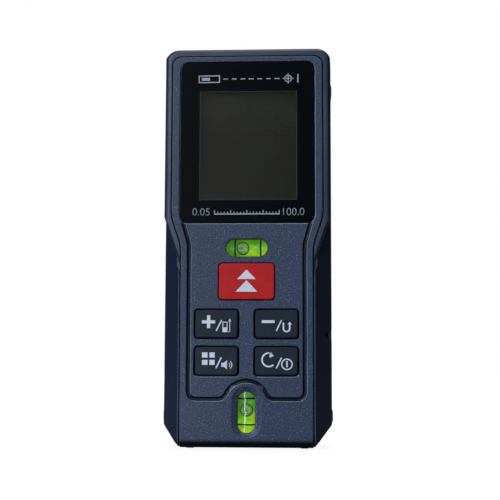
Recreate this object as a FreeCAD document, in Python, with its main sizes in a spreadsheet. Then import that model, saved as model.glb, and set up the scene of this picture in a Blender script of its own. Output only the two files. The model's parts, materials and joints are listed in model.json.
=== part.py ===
import FreeCAD, Part
import math
import os
import Sketcher

# A hand-held laser distance meter, standing upright on the feet at its tail.
# +X is the user's right, +Y runs from the keypad side to the battery side, and
# +Z is the laser's direction.  The origin is under the middle, on the feet's plane.

DIMENSIONS = {
    # Outer body
    "body_width": 50.0,
    "body_top": 118.9,
    "overall_depth": 26.6,
    "key_proud": 0.6,
    "foot_height": 0.5,
    "wall": 2.0,
    "overshoot": 1.0,
    "slope_run_on": 0.25,
    # Rear housing outline
    "rim_setback": 0.35,
    "top_corner": 4.4,
    "tail_half_width": 19.7,
    "tail_corner_top": 6.9,
    "tail_corner_round": 1.2,
    "rim_round": 1.7,
    "back_round": 1.8,
    "flank_half_width": 20.1,
    "flank_depth": 7.2,
    "flank_edge_soft": 0.07,
    "shoulder_top": 69.0,
    "shoulder_bottom": 54.7,
    "shoulder_round": 0.9,
    "flank_cut_top": 77.0,
    "head_side_draft": 0.4,
    "parting_gap": 0.28,
    # Front housing outline
    "head_half_width": 22.4,
    "head_top": 116.3,
    "head_corner": 2.7,
    "handle_half_width": 19.5,
    "waist_top": 67.8,
    "waist_bottom": 59.6,
    "waist_round": 14.0,
    "face_thickness": 2.0,
    "face_edge_round": 0.35,
    "tail_round": 2.1,
    "tail_lip_depth": 2.5,
    "lip_inset": 1.45,
    "lip_width": 1.1,
    "lip_depth": 2.2,
    "gasket_thickness": 0.3,
    "gasket_inset": 0.2,
    "gasket_width": 0.95,
    # Display
    "glass_width": 40.05,
    "glass_bottom": 65.9,
    "glass_top": 114.55,
    "glass_corner": 2.5,
    "glass_thickness": 1.0,
    "glass_setback": 0.1,
    "glass_gap": 0.15,
    "glass_seat": 1.2,
    "adhesive_margin": 0.4,
    "view_width": 31.4,
    "view_bottom": 71.2,
    "view_top": 106.6,
    "view_corner": 0.8,
    "lcd_width": 33.0,
    "lcd_bottom": 70.0,
    "lcd_top": 108.0,
    "lcd_thickness": 1.8,
    "lcd_gap": 0.1,
    "lcd_step": 0.8,
    "tray_wall": 0.5,
    "ribbon_width": 20.0,
    "ribbon_thickness": 0.2,
    "ribbon_lower_end": 62.9,
    "ribbon_bend": 3.0,
    "ribbon_overlap": 1.6,
    "ribbon_turn": 0.8,
    # Keypad panel groove
    "groove_width": 1.25,
    "groove_depth": 0.55,
    "groove_half_width": 17.0,
    "groove_waist_half_width": 18.9,
    "groove_waist_top": 66.2,
    "groove_waist_bottom": 59.7,
    "groove_waist_round": 6.0,
    "groove_bottom": 14.5,
    "groove_corner": 2.1,
    "arch_height": 13.17,
    "arch_radius": 6.6,
    "arch_foot_round": 2.4,
    # Keys
    "measure_hole_width": 16.85,
    "measure_hole_height": 11.2,
    "measure_height": 48.66,
    "small_hole_width": 13.4,
    "small_hole_height": 9.0,
    "small_offset": 8.75,
    "upper_row": 36.24,
    "lower_row": 25.44,
    "hole_corner": 1.4,
    "key_gap": 0.5,
    "measure_gap": 0.3,
    "key_edge_round": 0.3,
    "key_flange": 0.6,
    "key_flange_thickness": 0.8,
    "key_flange_gap": 0.15,
    "plunger_radius": 2.0,
    "plunger_end": -7.3,
    "mat_front": -8.7,
    "mat_thickness": 0.8,
    "mat_half_width": 15.6,
    "mat_bottom": 18.8,
    "mat_top": 54.6,
    "mat_corner": 1.5,
    "mat_hole_radius": 2.6,
    "mat_post_radius": 0.9,
    "mat_post_offset": 12.0,
    "mat_border": 1.0,
    "dome_radius": 3.4,
    "dome_top_radius": 2.2,
    "dome_height": 0.4,
    # Spirit vials
    "vial_radius": 2.8,
    "vial_length": 13.6,
    "vial_axis_depth": 4.15,
    "vial_bore": 2.1,
    "vial_wall": 0.45,
    "vial_seat": 1.35,
    "vial_room": 0.25,
    "plug_gap": 0.02,
    "bubble_radius": 1.8,
    "bubble_lift": 0.15,
    "across_height": 58.6,
    "across_window_length": 12.75,
    "across_window_width": 5.7,
    "across_bubble": -1.2,
    "upright_height": 10.64,
    "upright_window_length": 12.45,
    "upright_window_width": 5.55,
    "upright_bubble": 0.7,
    "dish_height": 10.8,
    "dish_radius": 8.155,
    "dish_centre": 6.93,
    "dish_reach": 3.1,
    # Main circuit board
    "pcb_front": -5.6,
    "pcb_thickness": 1.0,
    "pcb_half_width": 15.8,
    "pcb_bottom": 8.0,
    "pcb_top": 111.0,
    "pcb_corner": 1.5,
    "chip_side": 9.0,
    "chip_thickness": 1.1,
    "chip_height": 66.0,
    "chip_offset": 4.0,
    "buzzer_radius": 4.5,
    "buzzer_hole_radius": 0.9,
    "buzzer_thickness": 1.9,
    "buzzer_height": 24.0,
    "buzzer_offset": -9.0,
    "capacitor_width": 1.6,
    "capacitor_length": 3.2,
    "capacitor_thickness": 1.2,
    "capacitor_height": 40.0,
    "capacitor_pitch": 4.5,
    "pcb_screw_offset": 13.2,
    "pcb_screw_low": 11.5,
    "pcb_screw_high": 58.4,
    "pcb_screw_radius": 0.8,
    "pcb_screw_length": 5.0,
    "pcb_screw_head_radius": 1.5,
    "pcb_screw_head_height": 1.0,
    "pcb_boss_radius": 1.8,
    # Housing screws, driven from the back
    "screw_head_offset": 19.0,
    "screw_head_height": 112.3,
    "screw_waist_offset": 17.3,
    "screw_waist_height": 64.5,
    "screw_tail_offset": 15.5,
    "screw_tail_height": 4.5,
    "screw_radius": 1.0,
    "screw_length": 15.0,
    "screw_cap_radius": 1.9,
    "screw_cap_height": 1.4,
    "screw_seat": 5.0,
    "screw_drive": 0.4,
    "screw_drive_radius": 1.1,
    "drive_to_head": 0.6,
    "screw_gap": 0.2,
    "boss_radius": 2.2,
    "rear_boss_radius": 3.0,
    "boss_meeting": -0.6,
    "boss_gap": 0.1,
    # Optics
    "optics_depth": 3.5,
    "frame_half_width": 15.7,
    "frame_front": -4.0,
    "frame_rear": 11.0,
    "frame_bottom": 79.8,
    "frame_top": 115.5,
    "frame_corner": 1.2,
    "laser_offset": -9.5,
    "barrel_radius": 4.5,
    "barrel_bottom": 91.0,
    "barrel_bore": 2.4,
    "barrel_fit": 0.05,
    "diode_seat": 3.0,
    "diode_flange_radius": 2.8,
    "diode_flange": 1.2,
    "diode_can_radius": 2.3,
    "diode_can": 2.6,
    "diode_pin_radius": 0.23,
    "diode_pin_circle": 1.27,
    "diode_pin_length": 6.0,
    "collimator_radius": 3.0,
    "collimator_thickness": 2.0,
    "collimator_sphere": 6.0,
    "collimator_seat": 112.4,
    "receiver_offset": 7.5,
    "receiver_radius": 6.7,
    "receiver_thickness": 2.9,
    "receiver_sphere": 14.0,
    "receiver_seat": 112.3,
    "receiver_clear_radius": 6.2,
    "detector_bore": 3.1,
    "detector_bore_top": 85.0,
    "detector_radius": 2.7,
    "detector_can": 3.2,
    "detector_well": 1.28,
    "filter_height": 83.6,
    "filter_thickness": 0.8,
    "lens_gap": 0.05,
    "sensor_pcb_thickness": 1.2,
    "sensor_screw_depth": 8.4,
    "sensor_screw_offset": 1.4,
    "sensor_screw_length": 4.0,
    "optics_screw_offset": -2.4,
    "optics_screw_low": 88.0,
    "optics_screw_high": 108.0,
    "optics_screw_radius": 0.9,
    "optics_screw_head_radius": 1.6,
    "optics_screw_head_height": 1.2,
    "optics_screw_end": 12.4,
    "sensor_ribbon_width": 8.0,
    "sensor_ribbon_offset": -9.0,
    "sensor_ribbon_drop": 4.0,
    # Bezel at the laser end
    "bezel_width": 37.0,
    "bezel_height": 15.4,
    "bezel_corner": 4.0,
    "bezel_thickness": 0.7,
    "bezel_recess": 0.9,
    "bezel_gap": 0.1,
    "bezel_ledge": 1.2,
    "laser_port_radius": 2.4,
    "port_flare": 0.35,
    "laser_window_radius": 3.1,
    "laser_window_thickness": 0.8,
    # Battery bay
    "bay_half_width": 12.2,
    "bay_bottom": 9.3,
    "bay_top": 58.7,
    "bay_floor": -1.0,
    "bay_wall": 1.2,
    "cell_radius": 5.2,
    "cell_length": 44.5,
    "cell_nub_radius": 1.9,
    "cell_nub": 1.0,
    "cell_spacing": 12.1,
    "cell_depth": 5.0,
    "contact_thickness": 0.4,
    "contact_half_height": 4.0,
    "contact_margin": 0.8,
    "spring_wire": 0.25,
    "spring_radius": 2.6,
    "spring_turns": 4.0,
    # Battery cover, turning on two pins at the tail end
    "cover_half_width": 16.0,
    "cover_thickness": 1.6,
    "cover_hinge_height": 8.0,
    "cover_top": 60.6,
    "cover_corner": 1.2,
    "cover_gap": 0.3,
    "cover_back_gap": 0.1,
    "hinge_pin_radius": 0.5,
    "hinge_pin_length": 1.2,
    "hinge_fit": 0.05,
    "grip_width": 16.0,
    "grip_bottom": 47.4,
    "grip_top": 57.4,
    "grip_corner": 3.0,
    "grip_depth": 0.7,
    "grip_rib_height": 0.45,
    "grip_rib_width": 0.8,
    "grip_rib_pitch": 1.9,
    "grip_rib_length": 10.0,
    "catch_width": 6.0,
    "catch_reach": 0.2,
    "catch_thickness": 0.8,
    # Small outside features
    "foot_offset": 16.9,
    "foot_base_width": 3.0,
    "foot_flat_width": 2.0,
    "foot_front": -6.5,
    "foot_rear": 10.5,
    "pad_reach": 0.3,
    "pad_length": 4.4,
    "pad_flat": 2.6,
    "pad_low": 9.3,
    "pad_high": 107.8,
    "pad_front": -3.0,
    "pad_rear": 10.0,
    "notch_height": 33.2,
    "notch_half_height": 1.6,
    "notch_reach": 2.4,
    "notch_front": -9.0,
    "notch_rear": 0.6,
    "bar_radius": 0.7,
    "bar_inset": 0.75,
    "bar_depth": -4.4,
    "bar_length": 5.6,
    "label_width": 34.0,
    "label_bottom": 73.0,
    "label_top": 106.0,
    "label_corner": 2.0,
    "label_thickness": 0.2,
    "label_recess": 0.3,
    "label_gap": 0.3,
}

DOC = FreeCAD.newDocument("laser_distance_meter")
SHEET = DOC.addObject("Spreadsheet::Sheet", "Sizes")
NODES = []

# How near two points must be to count as one.
TOUCHING = 1e-4
CAPACITORS = 4
GRIP_RIBS = 5
WIRE_SIDES = 8


class Size:
    """A number together with the spreadsheet formula that gives it."""

    def __init__(self, value, formula):
        self.value = value
        self.formula = formula

    def __add__(self, other):
        other = as_size(other)
        return Size(self.value + other.value, f"({self.formula} + {other.formula})")

    def __radd__(self, other):
        return as_size(other) + self

    def __sub__(self, other):
        other = as_size(other)
        return Size(self.value - other.value, f"({self.formula} - {other.formula})")

    def __rsub__(self, other):
        return as_size(other) - self

    def __mul__(self, other):
        other = as_size(other)
        return Size(self.value * other.value, f"({self.formula} * {other.formula})")

    def __rmul__(self, other):
        return as_size(other) * self

    def __truediv__(self, other):
        other = as_size(other)
        return Size(self.value / other.value, f"({self.formula} / {other.formula})")

    def __neg__(self):
        return Size(-self.value, f"(0 - {self.formula})")


def as_size(thing):
    """Return a Size for a Size or a plain number."""
    if isinstance(thing, Size):
        return thing
    return Size(float(thing), f"({float(thing)})")


class Sizes:
    """The spreadsheet's cells, each read as an attribute with the cell's alias."""

    def __init__(self, table):
        for row, (alias, value) in enumerate(table.items(), start=1):
            SHEET.set(f"A{row}", alias)
            SHEET.set(f"B{row}", str(value))
            SHEET.setAlias(f"B{row}", alias)
            setattr(self, alias, Size(value, f"Sizes.{alias}"))


d = Sizes(DIMENSIONS)
DOC.recompute()

# Planes that several sub-parts share
FACE = d.key_proud - d.overall_depth / 2
BACK = d.overall_depth / 2
RIM = FACE + d.rim_setback
FACE_INSIDE = FACE + d.face_thickness
LEDGE = FACE_INSIDE + d.gasket_thickness
BACK_INSIDE = BACK - d.wall
HALF_WIDTH = d.body_width / 2
TAIL = d.foot_height
PCB_REAR = d.pcb_front + d.pcb_thickness
COVER_FRONT = BACK - d.cover_thickness
VIAL_AXIS = FACE + d.vial_axis_depth
KEY_TOP = FACE - d.key_proud
FLANGE_FRONT = FACE_INSIDE + d.key_flange_gap

SMALL_KEYS = {
    "plus_key": (-d.small_offset, d.upper_row),
    "minus_key": (d.small_offset, d.upper_row),
    "mode_key": (-d.small_offset, d.lower_row),
    "clear_key": (d.small_offset, d.lower_row),
}

HOUSING_SCREWS = [
    (side * offset, height)
    for side in (-1, 1)
    for offset, height in (
        (d.screw_head_offset, d.screw_head_height),
        (d.screw_waist_offset, d.screw_waist_height),
        (d.screw_tail_offset, d.screw_tail_height),
    )
]

PCB_SCREWS = [
    (side * d.pcb_screw_offset, height)
    for side in (-1, 1)
    for height in (d.pcb_screw_low, d.pcb_screw_high)
]


# ---------------------------------------------------------------- building blocks

def bind(item, path, size):
    """Drive one property of an object from the spreadsheet."""
    item.setExpression(path, as_size(size).formula)


def place(item, point):
    """Drive an object's position from the spreadsheet."""
    for axis, size in zip("xyz", point):
        bind(item, f"Placement.Base.{axis}", size)


def turned(item, axis):
    """Turn a primitive that grows along Z so that it grows along the named axis."""
    target = {"X": (1, 0, 0), "Y": (0, 1, 0), "Z": (0, 0, 1)}[axis]
    rotation = FreeCAD.Rotation(FreeCAD.Vector(0, 0, 1), FreeCAD.Vector(*target))
    item.Placement = FreeCAD.Placement(FreeCAD.Vector(0, 0, 0), rotation)
    return item


def box(name, low, high):
    """A block between two opposite corners."""
    item = DOC.addObject("Part::Box", name)
    for prop, start, end in zip(("Length", "Width", "Height"), low, high):
        bind(item, prop, end - start)
    place(item, low)
    return item


def cylinder(name, start, length, radius, axis):
    """A round bar that starts at a point and runs along an axis."""
    item = turned(DOC.addObject("Part::Cylinder", name), axis)
    bind(item, "Radius", radius)
    bind(item, "Height", length)
    place(item, start)
    return item


def cone(name, start, length, start_radius, end_radius, axis):
    """A tapered round bar that starts at a point and runs along an axis."""
    item = turned(DOC.addObject("Part::Cone", name), axis)
    bind(item, "Radius1", start_radius)
    bind(item, "Radius2", end_radius)
    bind(item, "Height", length)
    place(item, start)
    return item


def sphere(name, centre, radius):
    """A ball."""
    item = DOC.addObject("Part::Sphere", name)
    bind(item, "Radius", radius)
    place(item, centre)
    return item


def fuse(name, items):
    """One solid, or one group of solids, from several."""
    item = DOC.addObject("Part::MultiFuse", name)
    item.Shapes = items
    item.Refine = True
    return item


def cut(name, base, tools):
    """The base without the tools."""
    item = DOC.addObject("Part::Cut", name)
    item.Base = base
    item.Tool = tools[0] if len(tools) == 1 else fuse(f"{name}_tools", tools)
    item.Refine = True
    return item


def common(name, first, second):
    """What two objects share."""
    item = DOC.addObject("Part::Common", name)
    item.Base = first
    item.Tool = second
    return item


def node(label, item):
    """Name a finished sub-part and keep it for writing."""
    item.Label = label
    NODES.append(item)
    return item


def sketch_outline(body, name, plane, corners, offset):
    """A closed polygon on one of the body's origin planes, each corner driven by the sheet."""
    sketch = body.newObject("Sketcher::SketchObject", name)
    support = [item for item in body.Origin.OriginFeatures if item.Role == plane][0]
    sketch.AttachmentSupport = (support, [""])
    sketch.MapMode = "FlatFace"
    bind(sketch, "AttachmentOffset.Base.z", offset)
    points = [FreeCAD.Vector(as_size(u).value, as_size(v).value, 0) for u, v in corners]
    count = len(points)
    for index in range(count):
        sketch.addGeometry(Part.LineSegment(points[index], points[(index + 1) % count]), False)
    for index in range(count):
        sketch.addConstraint(Sketcher.Constraint("Coincident", index, 2, (index + 1) % count, 1))
    for index, (u, v) in enumerate(corners):
        for kind, size in (("DistanceX", as_size(u)), ("DistanceY", as_size(v))):
            number = sketch.addConstraint(Sketcher.Constraint(kind, -1, 1, index, 1, size.value))
            sketch.setExpression(f"Constraints[{number}]", size.formula)
    return sketch


def edge_middle(edge):
    """The point halfway along an edge."""
    return edge.valueAt((edge.FirstParameter + edge.LastParameter) / 2)


def pick_edges(shape, wanted):
    """Names of the edges for which wanted(edge) holds."""
    return [f"Edge{i}" for i, edge in enumerate(shape.Edges, start=1) if wanted(edge)]


def round_edges(body, wanted, radius):
    """Round the edges of a body's tip for which wanted(edge) holds."""
    DOC.recompute()
    tip = body.Tip
    fillet = body.newObject("PartDesign::Fillet", f"{body.Name}_round")
    fillet.Base = (tip, pick_edges(tip.Shape, wanted))
    bind(fillet, "Radius", radius)
    body.Tip = fillet
    DOC.recompute()
    return body


PLANES = {
    "X": ("YZ_Plane", 1),
    "Y": ("XZ_Plane", -1),
    "Z": ("XY_Plane", 1),
}


def prism(name, axis, corners, start, end):
    """A polygon carried along an axis.

    A corner is (u, v) or (u, v, radius): along X they are (y, z), along Y they are
    (x, z) and along Z they are (x, y).  Along Y, start is the greater of the two.
    """
    body = DOC.addObject("PartDesign::Body", name)
    add_pad(body, name, axis, corners, start, end)
    radii = {}
    for corner in corners:
        if len(corner) > 2:
            radii.setdefault(corner[2].formula, []).append(corner)
    for group in radii.values():
        round_edges(body, corner_test(axis, group), group[0][2])
    return body


def add_pad(body, name, axis, corners, start, end):
    """Add a polygon carried along an axis to a body."""
    plane, sign = PLANES[axis]
    outline = [corner[:2] for corner in corners]
    sketch = sketch_outline(body, f"{name}_sketch", plane, outline, sign * start)
    pad = body.newObject("PartDesign::Pad", f"{name}_pad")
    pad.Profile = sketch
    bind(pad, "Length", sign * (end - start))
    body.Tip = pad


def add_pocket(body, name, axis, corners, start, end):
    """Cut a polygon carried along an axis out of a body; start is the greater level."""
    plane, sign = PLANES[axis]
    sketch = sketch_outline(body, f"{name}_sketch", plane, corners, sign * start)
    pocket = body.newObject("PartDesign::Pocket", f"{name}_pocket")
    pocket.Profile = sketch
    bind(pocket, "Length", start - end)
    body.Tip = pocket
    DOC.recompute()
    return pocket


def corner_test(axis, corners):
    """A test for the straight edges that run along an axis through the given corners."""
    first, second = {"X": (1, 2), "Y": (0, 2), "Z": (0, 1)}[axis]

    def wanted(edge):
        ends = [vertex.Point for vertex in edge.Vertexes]
        if len(ends) != 2:
            return False
        for corner in corners:
            u = as_size(corner[0]).value
            v = as_size(corner[1]).value
            gaps = [math.hypot(end[first] - u, end[second] - v) for end in ends]
            if max(gaps) < TOUCHING:
                return True
        return False

    return wanted


def on_plane(axis, size):
    """A test for the edges that lie on a plane across an axis."""
    index = "XYZ".index(axis)
    level = as_size(size).value

    def wanted(edge):
        middle = edge_middle(edge)
        ends = [vertex.Point[index] for vertex in edge.Vertexes]
        return all(abs(value - level) < TOUCHING for value in ends + [middle[index]])

    return wanted


def rounded_block(name, x_range, z_range, y_range, corner):
    """A block with rounded corners, as seen from the front; y_range is (rear, front)."""
    corners = [
        (x_range[0], z_range[0], corner),
        (x_range[1], z_range[0], corner),
        (x_range[1], z_range[1], corner),
        (x_range[0], z_range[1], corner),
    ]
    return prism(name, "Y", corners, y_range[0], y_range[1])


def centred_block(name, centre, width, height, y_range, corner):
    """A rounded block given by its middle (x, z), width and height."""
    x, z = centre
    x_range = (x - width / 2, x + width / 2)
    z_range = (z - height / 2, z + height / 2)
    return rounded_block(name, x_range, z_range, y_range, corner)


def stadium(name, centre, length, width, y_range, along):
    """A slot-shaped block whose long side lies along X or Z; y_range is (front, rear)."""
    x, z = centre
    front, rear = y_range
    half = (length - width) / 2
    radius = width / 2
    dx, dz = (half, as_size(0)) if along == "X" else (as_size(0), half)
    wide, tall = (half, radius) if along == "X" else (radius, half)
    middle = box(f"{name}_middle", (x - wide, front, z - tall), (x + wide, rear, z + tall))
    ends = [
        cylinder(f"{name}_end", (x + side * dx, front, z + side * dz), rear - front, radius, "Y")
        for side in (-1, 1)
    ]
    return fuse(name, [middle] + ends)


def panel_outline(grow, tail):
    """The front panel's outline, grown outwards by grow and ending at tail."""
    head = d.head_half_width + grow
    handle = d.handle_half_width + grow
    top = d.head_top + grow
    return [
        (-head, top, d.head_corner + grow),
        (-head, d.waist_top, d.waist_round),
        (-handle, d.waist_bottom, d.waist_round),
        (-handle, tail),
        (handle, tail),
        (handle, d.waist_bottom, d.waist_round),
        (head, d.waist_top, d.waist_round),
        (head, top, d.head_corner + grow),
    ]


def panel_ring(name, outer_inset, inner_inset, rear, front):
    """A band that follows the front panel's outline, inside it, open at the tail."""
    tail = TAIL + d.wall
    outer = prism(f"{name}_outer", "Y", panel_outline(-outer_inset, tail), rear, front)
    inner_outline = panel_outline(-inner_inset, tail - d.overshoot)
    inner = prism(f"{name}_inner", "Y", inner_outline, rear + d.overshoot, front - d.overshoot)
    return cut(name, outer, [inner])


# ---------------------------------------------------------------- front housing

def fillet_corner(before, corner, after, radius):
    """The two tangent points and the middle of the arc that rounds a corner of a path."""
    into = (before - corner).normalize()
    out = (after - corner).normalize()
    half_angle = into.getAngle(out) / 2
    reach = radius / math.tan(half_angle)
    bisector = (into + out).normalize()
    centre = corner + bisector * (radius / math.sin(half_angle))
    middle = centre - bisector * radius
    return corner + into * reach, middle, corner + out * reach


def groove_spine():
    """The middle line of the keypad panel's groove, with the arch over the upright vial."""
    depth = FACE.value
    x = d.groove_half_width.value
    low = d.groove_bottom.value
    top = FreeCAD.Vector(d.groove_waist_half_width.value, depth, d.groove_waist_top.value)
    waist = FreeCAD.Vector(x, depth, d.groove_waist_bottom.value)
    corner = FreeCAD.Vector(x, depth, low)
    foot_centre_height = low + d.arch_foot_round.value
    reach = d.arch_radius.value + d.arch_foot_round.value
    rise = foot_centre_height - d.arch_height.value
    foot_centre = FreeCAD.Vector(math.sqrt(reach ** 2 - rise ** 2), depth, foot_centre_height)
    arch_centre = FreeCAD.Vector(0, depth, d.arch_height.value)
    foot = FreeCAD.Vector(foot_centre.x, depth, low)
    direction = (foot_centre - arch_centre).normalize()
    joint = arch_centre + direction * d.arch_radius.value
    foot_middle_direction = ((foot - foot_centre) + (joint - foot_centre)).normalize()
    foot_middle = foot_centre + foot_middle_direction * d.arch_foot_round.value
    crown = arch_centre + FreeCAD.Vector(0, 0, d.arch_radius.value)
    waist_arc = fillet_corner(top, waist, corner, d.groove_waist_round.value)
    corner_arc = fillet_corner(waist, corner, foot, d.groove_corner.value)

    def mirrored(point):
        return FreeCAD.Vector(-point.x, point.y, point.z)

    def half(flip):
        points = [top, *waist_arc, *corner_arc, foot, foot_middle, joint]
        start, w1, w2, w3, c1, c2, c3, f1, f2, f3 = [flip(point) for point in points]
        return [
            Part.LineSegment(start, w1),
            Part.Arc(w1, w2, w3),
            Part.LineSegment(w3, c1),
            Part.Arc(c1, c2, c3),
            Part.LineSegment(c3, f1),
            Part.Arc(f1, f2, f3),
        ]

    edges = [piece.toShape() for piece in half(lambda point: point)]
    edges.append(Part.Arc(joint, crown, mirrored(joint)).toShape())
    edges.extend(piece.toShape() for piece in reversed(half(mirrored)))
    return Part.Wire(Part.__sortEdges__(edges))


def groove_tool():
    """The groove's round-bottomed cutter, swept along its middle line."""
    spine = groove_spine()
    start = FreeCAD.Vector(d.groove_waist_half_width.value, FACE.value, d.groove_waist_top.value)
    half = d.groove_width.value / 2
    depth = d.groove_depth.value
    lift = (half ** 2 - depth ** 2) / (2 * depth)
    centre = start - FreeCAD.Vector(0, lift, 0)
    first = spine.OrderedEdges[0]
    at_start = first.FirstParameter
    if (first.valueAt(at_start) - start).Length > TOUCHING:
        start = FreeCAD.Vector(-start.x, start.y, start.z)
        centre = FreeCAD.Vector(start.x, centre.y, centre.z)
    tangent = spine.OrderedEdges[0].tangentAt(at_start)
    radius = math.hypot(half, lift)
    profile = Part.Wire(Part.Circle(centre, tangent, radius).toShape())
    item = DOC.addObject("Part::Feature", "groove_tool")
    item.Shape = spine.makePipeShell([profile], True, False)
    return item


def dish_tool():
    """The long dish round the upright vial's window: a pill that dips into the face."""
    centre_y = FACE - d.dish_centre
    low = d.dish_height - d.dish_reach
    high = d.dish_height + d.dish_reach
    zero = as_size(0)
    middle = cylinder("dish_middle", (zero, centre_y, low), high - low, d.dish_radius, "Z")
    ends = [sphere("dish_end", (zero, centre_y, level), d.dish_radius) for level in (low, high)]
    return fuse("dish_tool", [middle] + ends)


def key_hole(name, centre, width, height):
    """A key's hole through the face."""
    y_range = (FACE_INSIDE + d.overshoot, FACE - d.overshoot)
    return centred_block(name, centre, width, height, y_range, d.hole_corner)


def vial_windows():
    """The two slot-shaped windows through the face."""
    y_range = (FACE - d.overshoot, FACE_INSIDE + d.overshoot)
    zero = as_size(0)
    across = stadium(
        "across_window", (zero, d.across_height),
        d.across_window_length, d.across_window_width, y_range, "X",
    )
    upright = stadium(
        "upright_window", (zero, d.upright_height),
        d.upright_window_length, d.upright_window_width, y_range, "Z",
    )
    return [across, upright]


def vial_seats():
    """The pockets behind the windows that the two vials lie in."""
    y_range = (FACE_INSIDE + d.overshoot, FACE + d.vial_seat)
    long = d.vial_length + d.vial_room * 2
    wide = (d.vial_radius + d.vial_room) * 2
    zero = as_size(0)
    return [
        centred_block("across_seat", (zero, d.across_height), long, wide, y_range, d.vial_room),
        centred_block("upright_seat", (zero, d.upright_height), wide, long, y_range, d.vial_room),
    ]


def front_bosses():
    """Posts inside the face that take the housing screws and the board's screws."""
    posts = [
        cylinder("front_boss", (x, FACE_INSIDE, z), d.boss_meeting - FACE_INSIDE, d.boss_radius, "Y")
        for x, z in HOUSING_SCREWS
    ]
    short = [
        cylinder("pcb_boss", (x, FACE_INSIDE, z), d.pcb_front - FACE_INSIDE, d.pcb_boss_radius, "Y")
        for x, z in PCB_SCREWS
    ]
    return posts + short


def front_boss_bores():
    """Blind holes in the posts for the screw threads."""
    depth = d.overshoot
    long_bores = [
        cylinder(
            "front_bore", (x, d.screw_seat - d.screw_length, z),
            d.screw_length, d.screw_radius, "Y",
        )
        for x, z in HOUSING_SCREWS
    ]
    short_bores = [
        cylinder(
            "pcb_bore", (x, PCB_REAR - d.pcb_screw_length, z),
            d.pcb_screw_length + depth, d.pcb_screw_radius, "Y",
        )
        for x, z in PCB_SCREWS
    ]
    return long_bores + short_bores


def front_housing():
    """The face panel with its windows, key holes, groove, tail lip, skirt and posts."""
    face = prism("face_plate", "Y", panel_outline(as_size(0), TAIL), FACE_INSIDE, FACE)
    handle = d.handle_half_width
    add_pad(face, "tail_lip", "Y", [
        (-handle, TAIL),
        (handle, TAIL),
        (handle, TAIL + d.wall),
        (-handle, TAIL + d.wall),
    ], FACE_INSIDE + d.tail_lip_depth, FACE_INSIDE)
    tail_edge = (FACE, TAIL)
    round_edges(face, corner_test("X", [tail_edge]), d.tail_round)
    round_edges(face, face_border, d.face_edge_round)
    skirt_outer = d.lip_inset
    skirt = panel_ring(
        "skirt", skirt_outer, skirt_outer + d.lip_width,
        FACE_INSIDE + d.lip_depth, FACE_INSIDE - d.overshoot,
    )
    glass_low = (-(d.glass_width / 2 + d.glass_gap), d.glass_width / 2 + d.glass_gap)
    glass_high = (d.glass_bottom - d.glass_gap, d.glass_top + d.glass_gap)
    seat = rounded_block(
        "glass_recess", glass_low, glass_high,
        (FACE + d.glass_seat, FACE - d.overshoot), d.glass_corner + d.glass_gap,
    )
    view = rounded_block(
        "view_opening", (-d.view_width / 2, d.view_width / 2), (d.view_bottom, d.view_top),
        (FACE_INSIDE + d.overshoot, FACE - d.overshoot), d.view_corner,
    )
    holes = [
        key_hole(f"{name}_hole", centre, d.small_hole_width, d.small_hole_height)
        for name, centre in SMALL_KEYS.items()
    ]
    holes.append(key_hole(
        "measure_key_hole", (as_size(0), d.measure_height),
        d.measure_hole_width, d.measure_hole_height,
    ))
    solid = fuse("front_solid", [face, skirt] + front_bosses())
    tools = [seat, view, groove_tool(), dish_tool()]
    tools += holes + vial_windows() + vial_seats() + front_boss_bores()
    return node("front_housing", cut("front_housing", solid, tools))


def face_border(edge):
    """True for the outer edges of the face, apart from the tail's rounded edge."""
    middle = edge_middle(edge)
    on_face = on_plane("Y", FACE)(edge)
    above_tail = middle.z > (TAIL + d.tail_round).value + TOUCHING
    return on_face and above_tail


# ---------------------------------------------------------------- rear housing

def rear_block():
    """The rear housing's outside before its flanks are cut."""
    tail = d.tail_half_width
    outline = [
        (-HALF_WIDTH, d.body_top, d.top_corner),
        (-HALF_WIDTH, d.tail_corner_top, d.tail_corner_round),
        (-tail, TAIL, d.tail_corner_round),
        (tail, TAIL, d.tail_corner_round),
        (HALF_WIDTH, d.tail_corner_top, d.tail_corner_round),
        (HALF_WIDTH, d.body_top, d.top_corner),
    ]
    block = prism("rear_block", "Y", outline, BACK, RIM)
    for name, side in (("right_draft", 1), ("left_draft", -1)):
        over = d.slope_run_on
        add_pocket(block, name, "Z", [
            (side * (HALF_WIDTH - d.head_side_draft * (1 + over)), RIM - d.flank_depth * over),
            (side * (HALF_WIDTH + d.head_side_draft * over), RIM + d.flank_depth * (1 + over)),
            (side * (HALF_WIDTH + d.overshoot), RIM - d.flank_depth * over),
        ], d.body_top + d.overshoot, -d.overshoot)
    round_edges(block, on_plane("Y", RIM), d.rim_round)
    return round_edges(block, on_plane("Y", BACK), d.back_round)


def flank_tool(name, side):
    """What is cut away to make one sloping flank under the head's shoulder."""
    run = HALF_WIDTH - d.flank_half_width
    over = d.slope_run_on
    soft = d.flank_edge_soft
    slope = prism(f"{name}_slope", "Z", [
        (side * (d.flank_half_width - run * over), RIM - d.flank_depth * over),
        (side * (HALF_WIDTH - run * soft), RIM + d.flank_depth * (1 - soft)),
        (side * HALF_WIDTH, RIM + d.flank_depth * (1 + soft)),
        (side * (HALF_WIDTH + run * over), RIM + d.flank_depth * (1 + soft)),
        (side * (HALF_WIDTH + run * over), RIM - d.flank_depth * over),
    ], -d.overshoot, d.flank_cut_top)
    rise = d.shoulder_top - d.shoulder_bottom
    shoulder = prism(f"{name}_shoulder", "Y", [
        (side * (d.flank_half_width - run), -d.overshoot),
        (side * (HALF_WIDTH + run * over), -d.overshoot),
        (side * (HALF_WIDTH + run * over), d.shoulder_top + rise * over),
        (side * (d.flank_half_width - run), d.shoulder_bottom - rise),
    ], BACK, RIM - d.flank_depth)
    return common(name, slope, shoulder)


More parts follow.
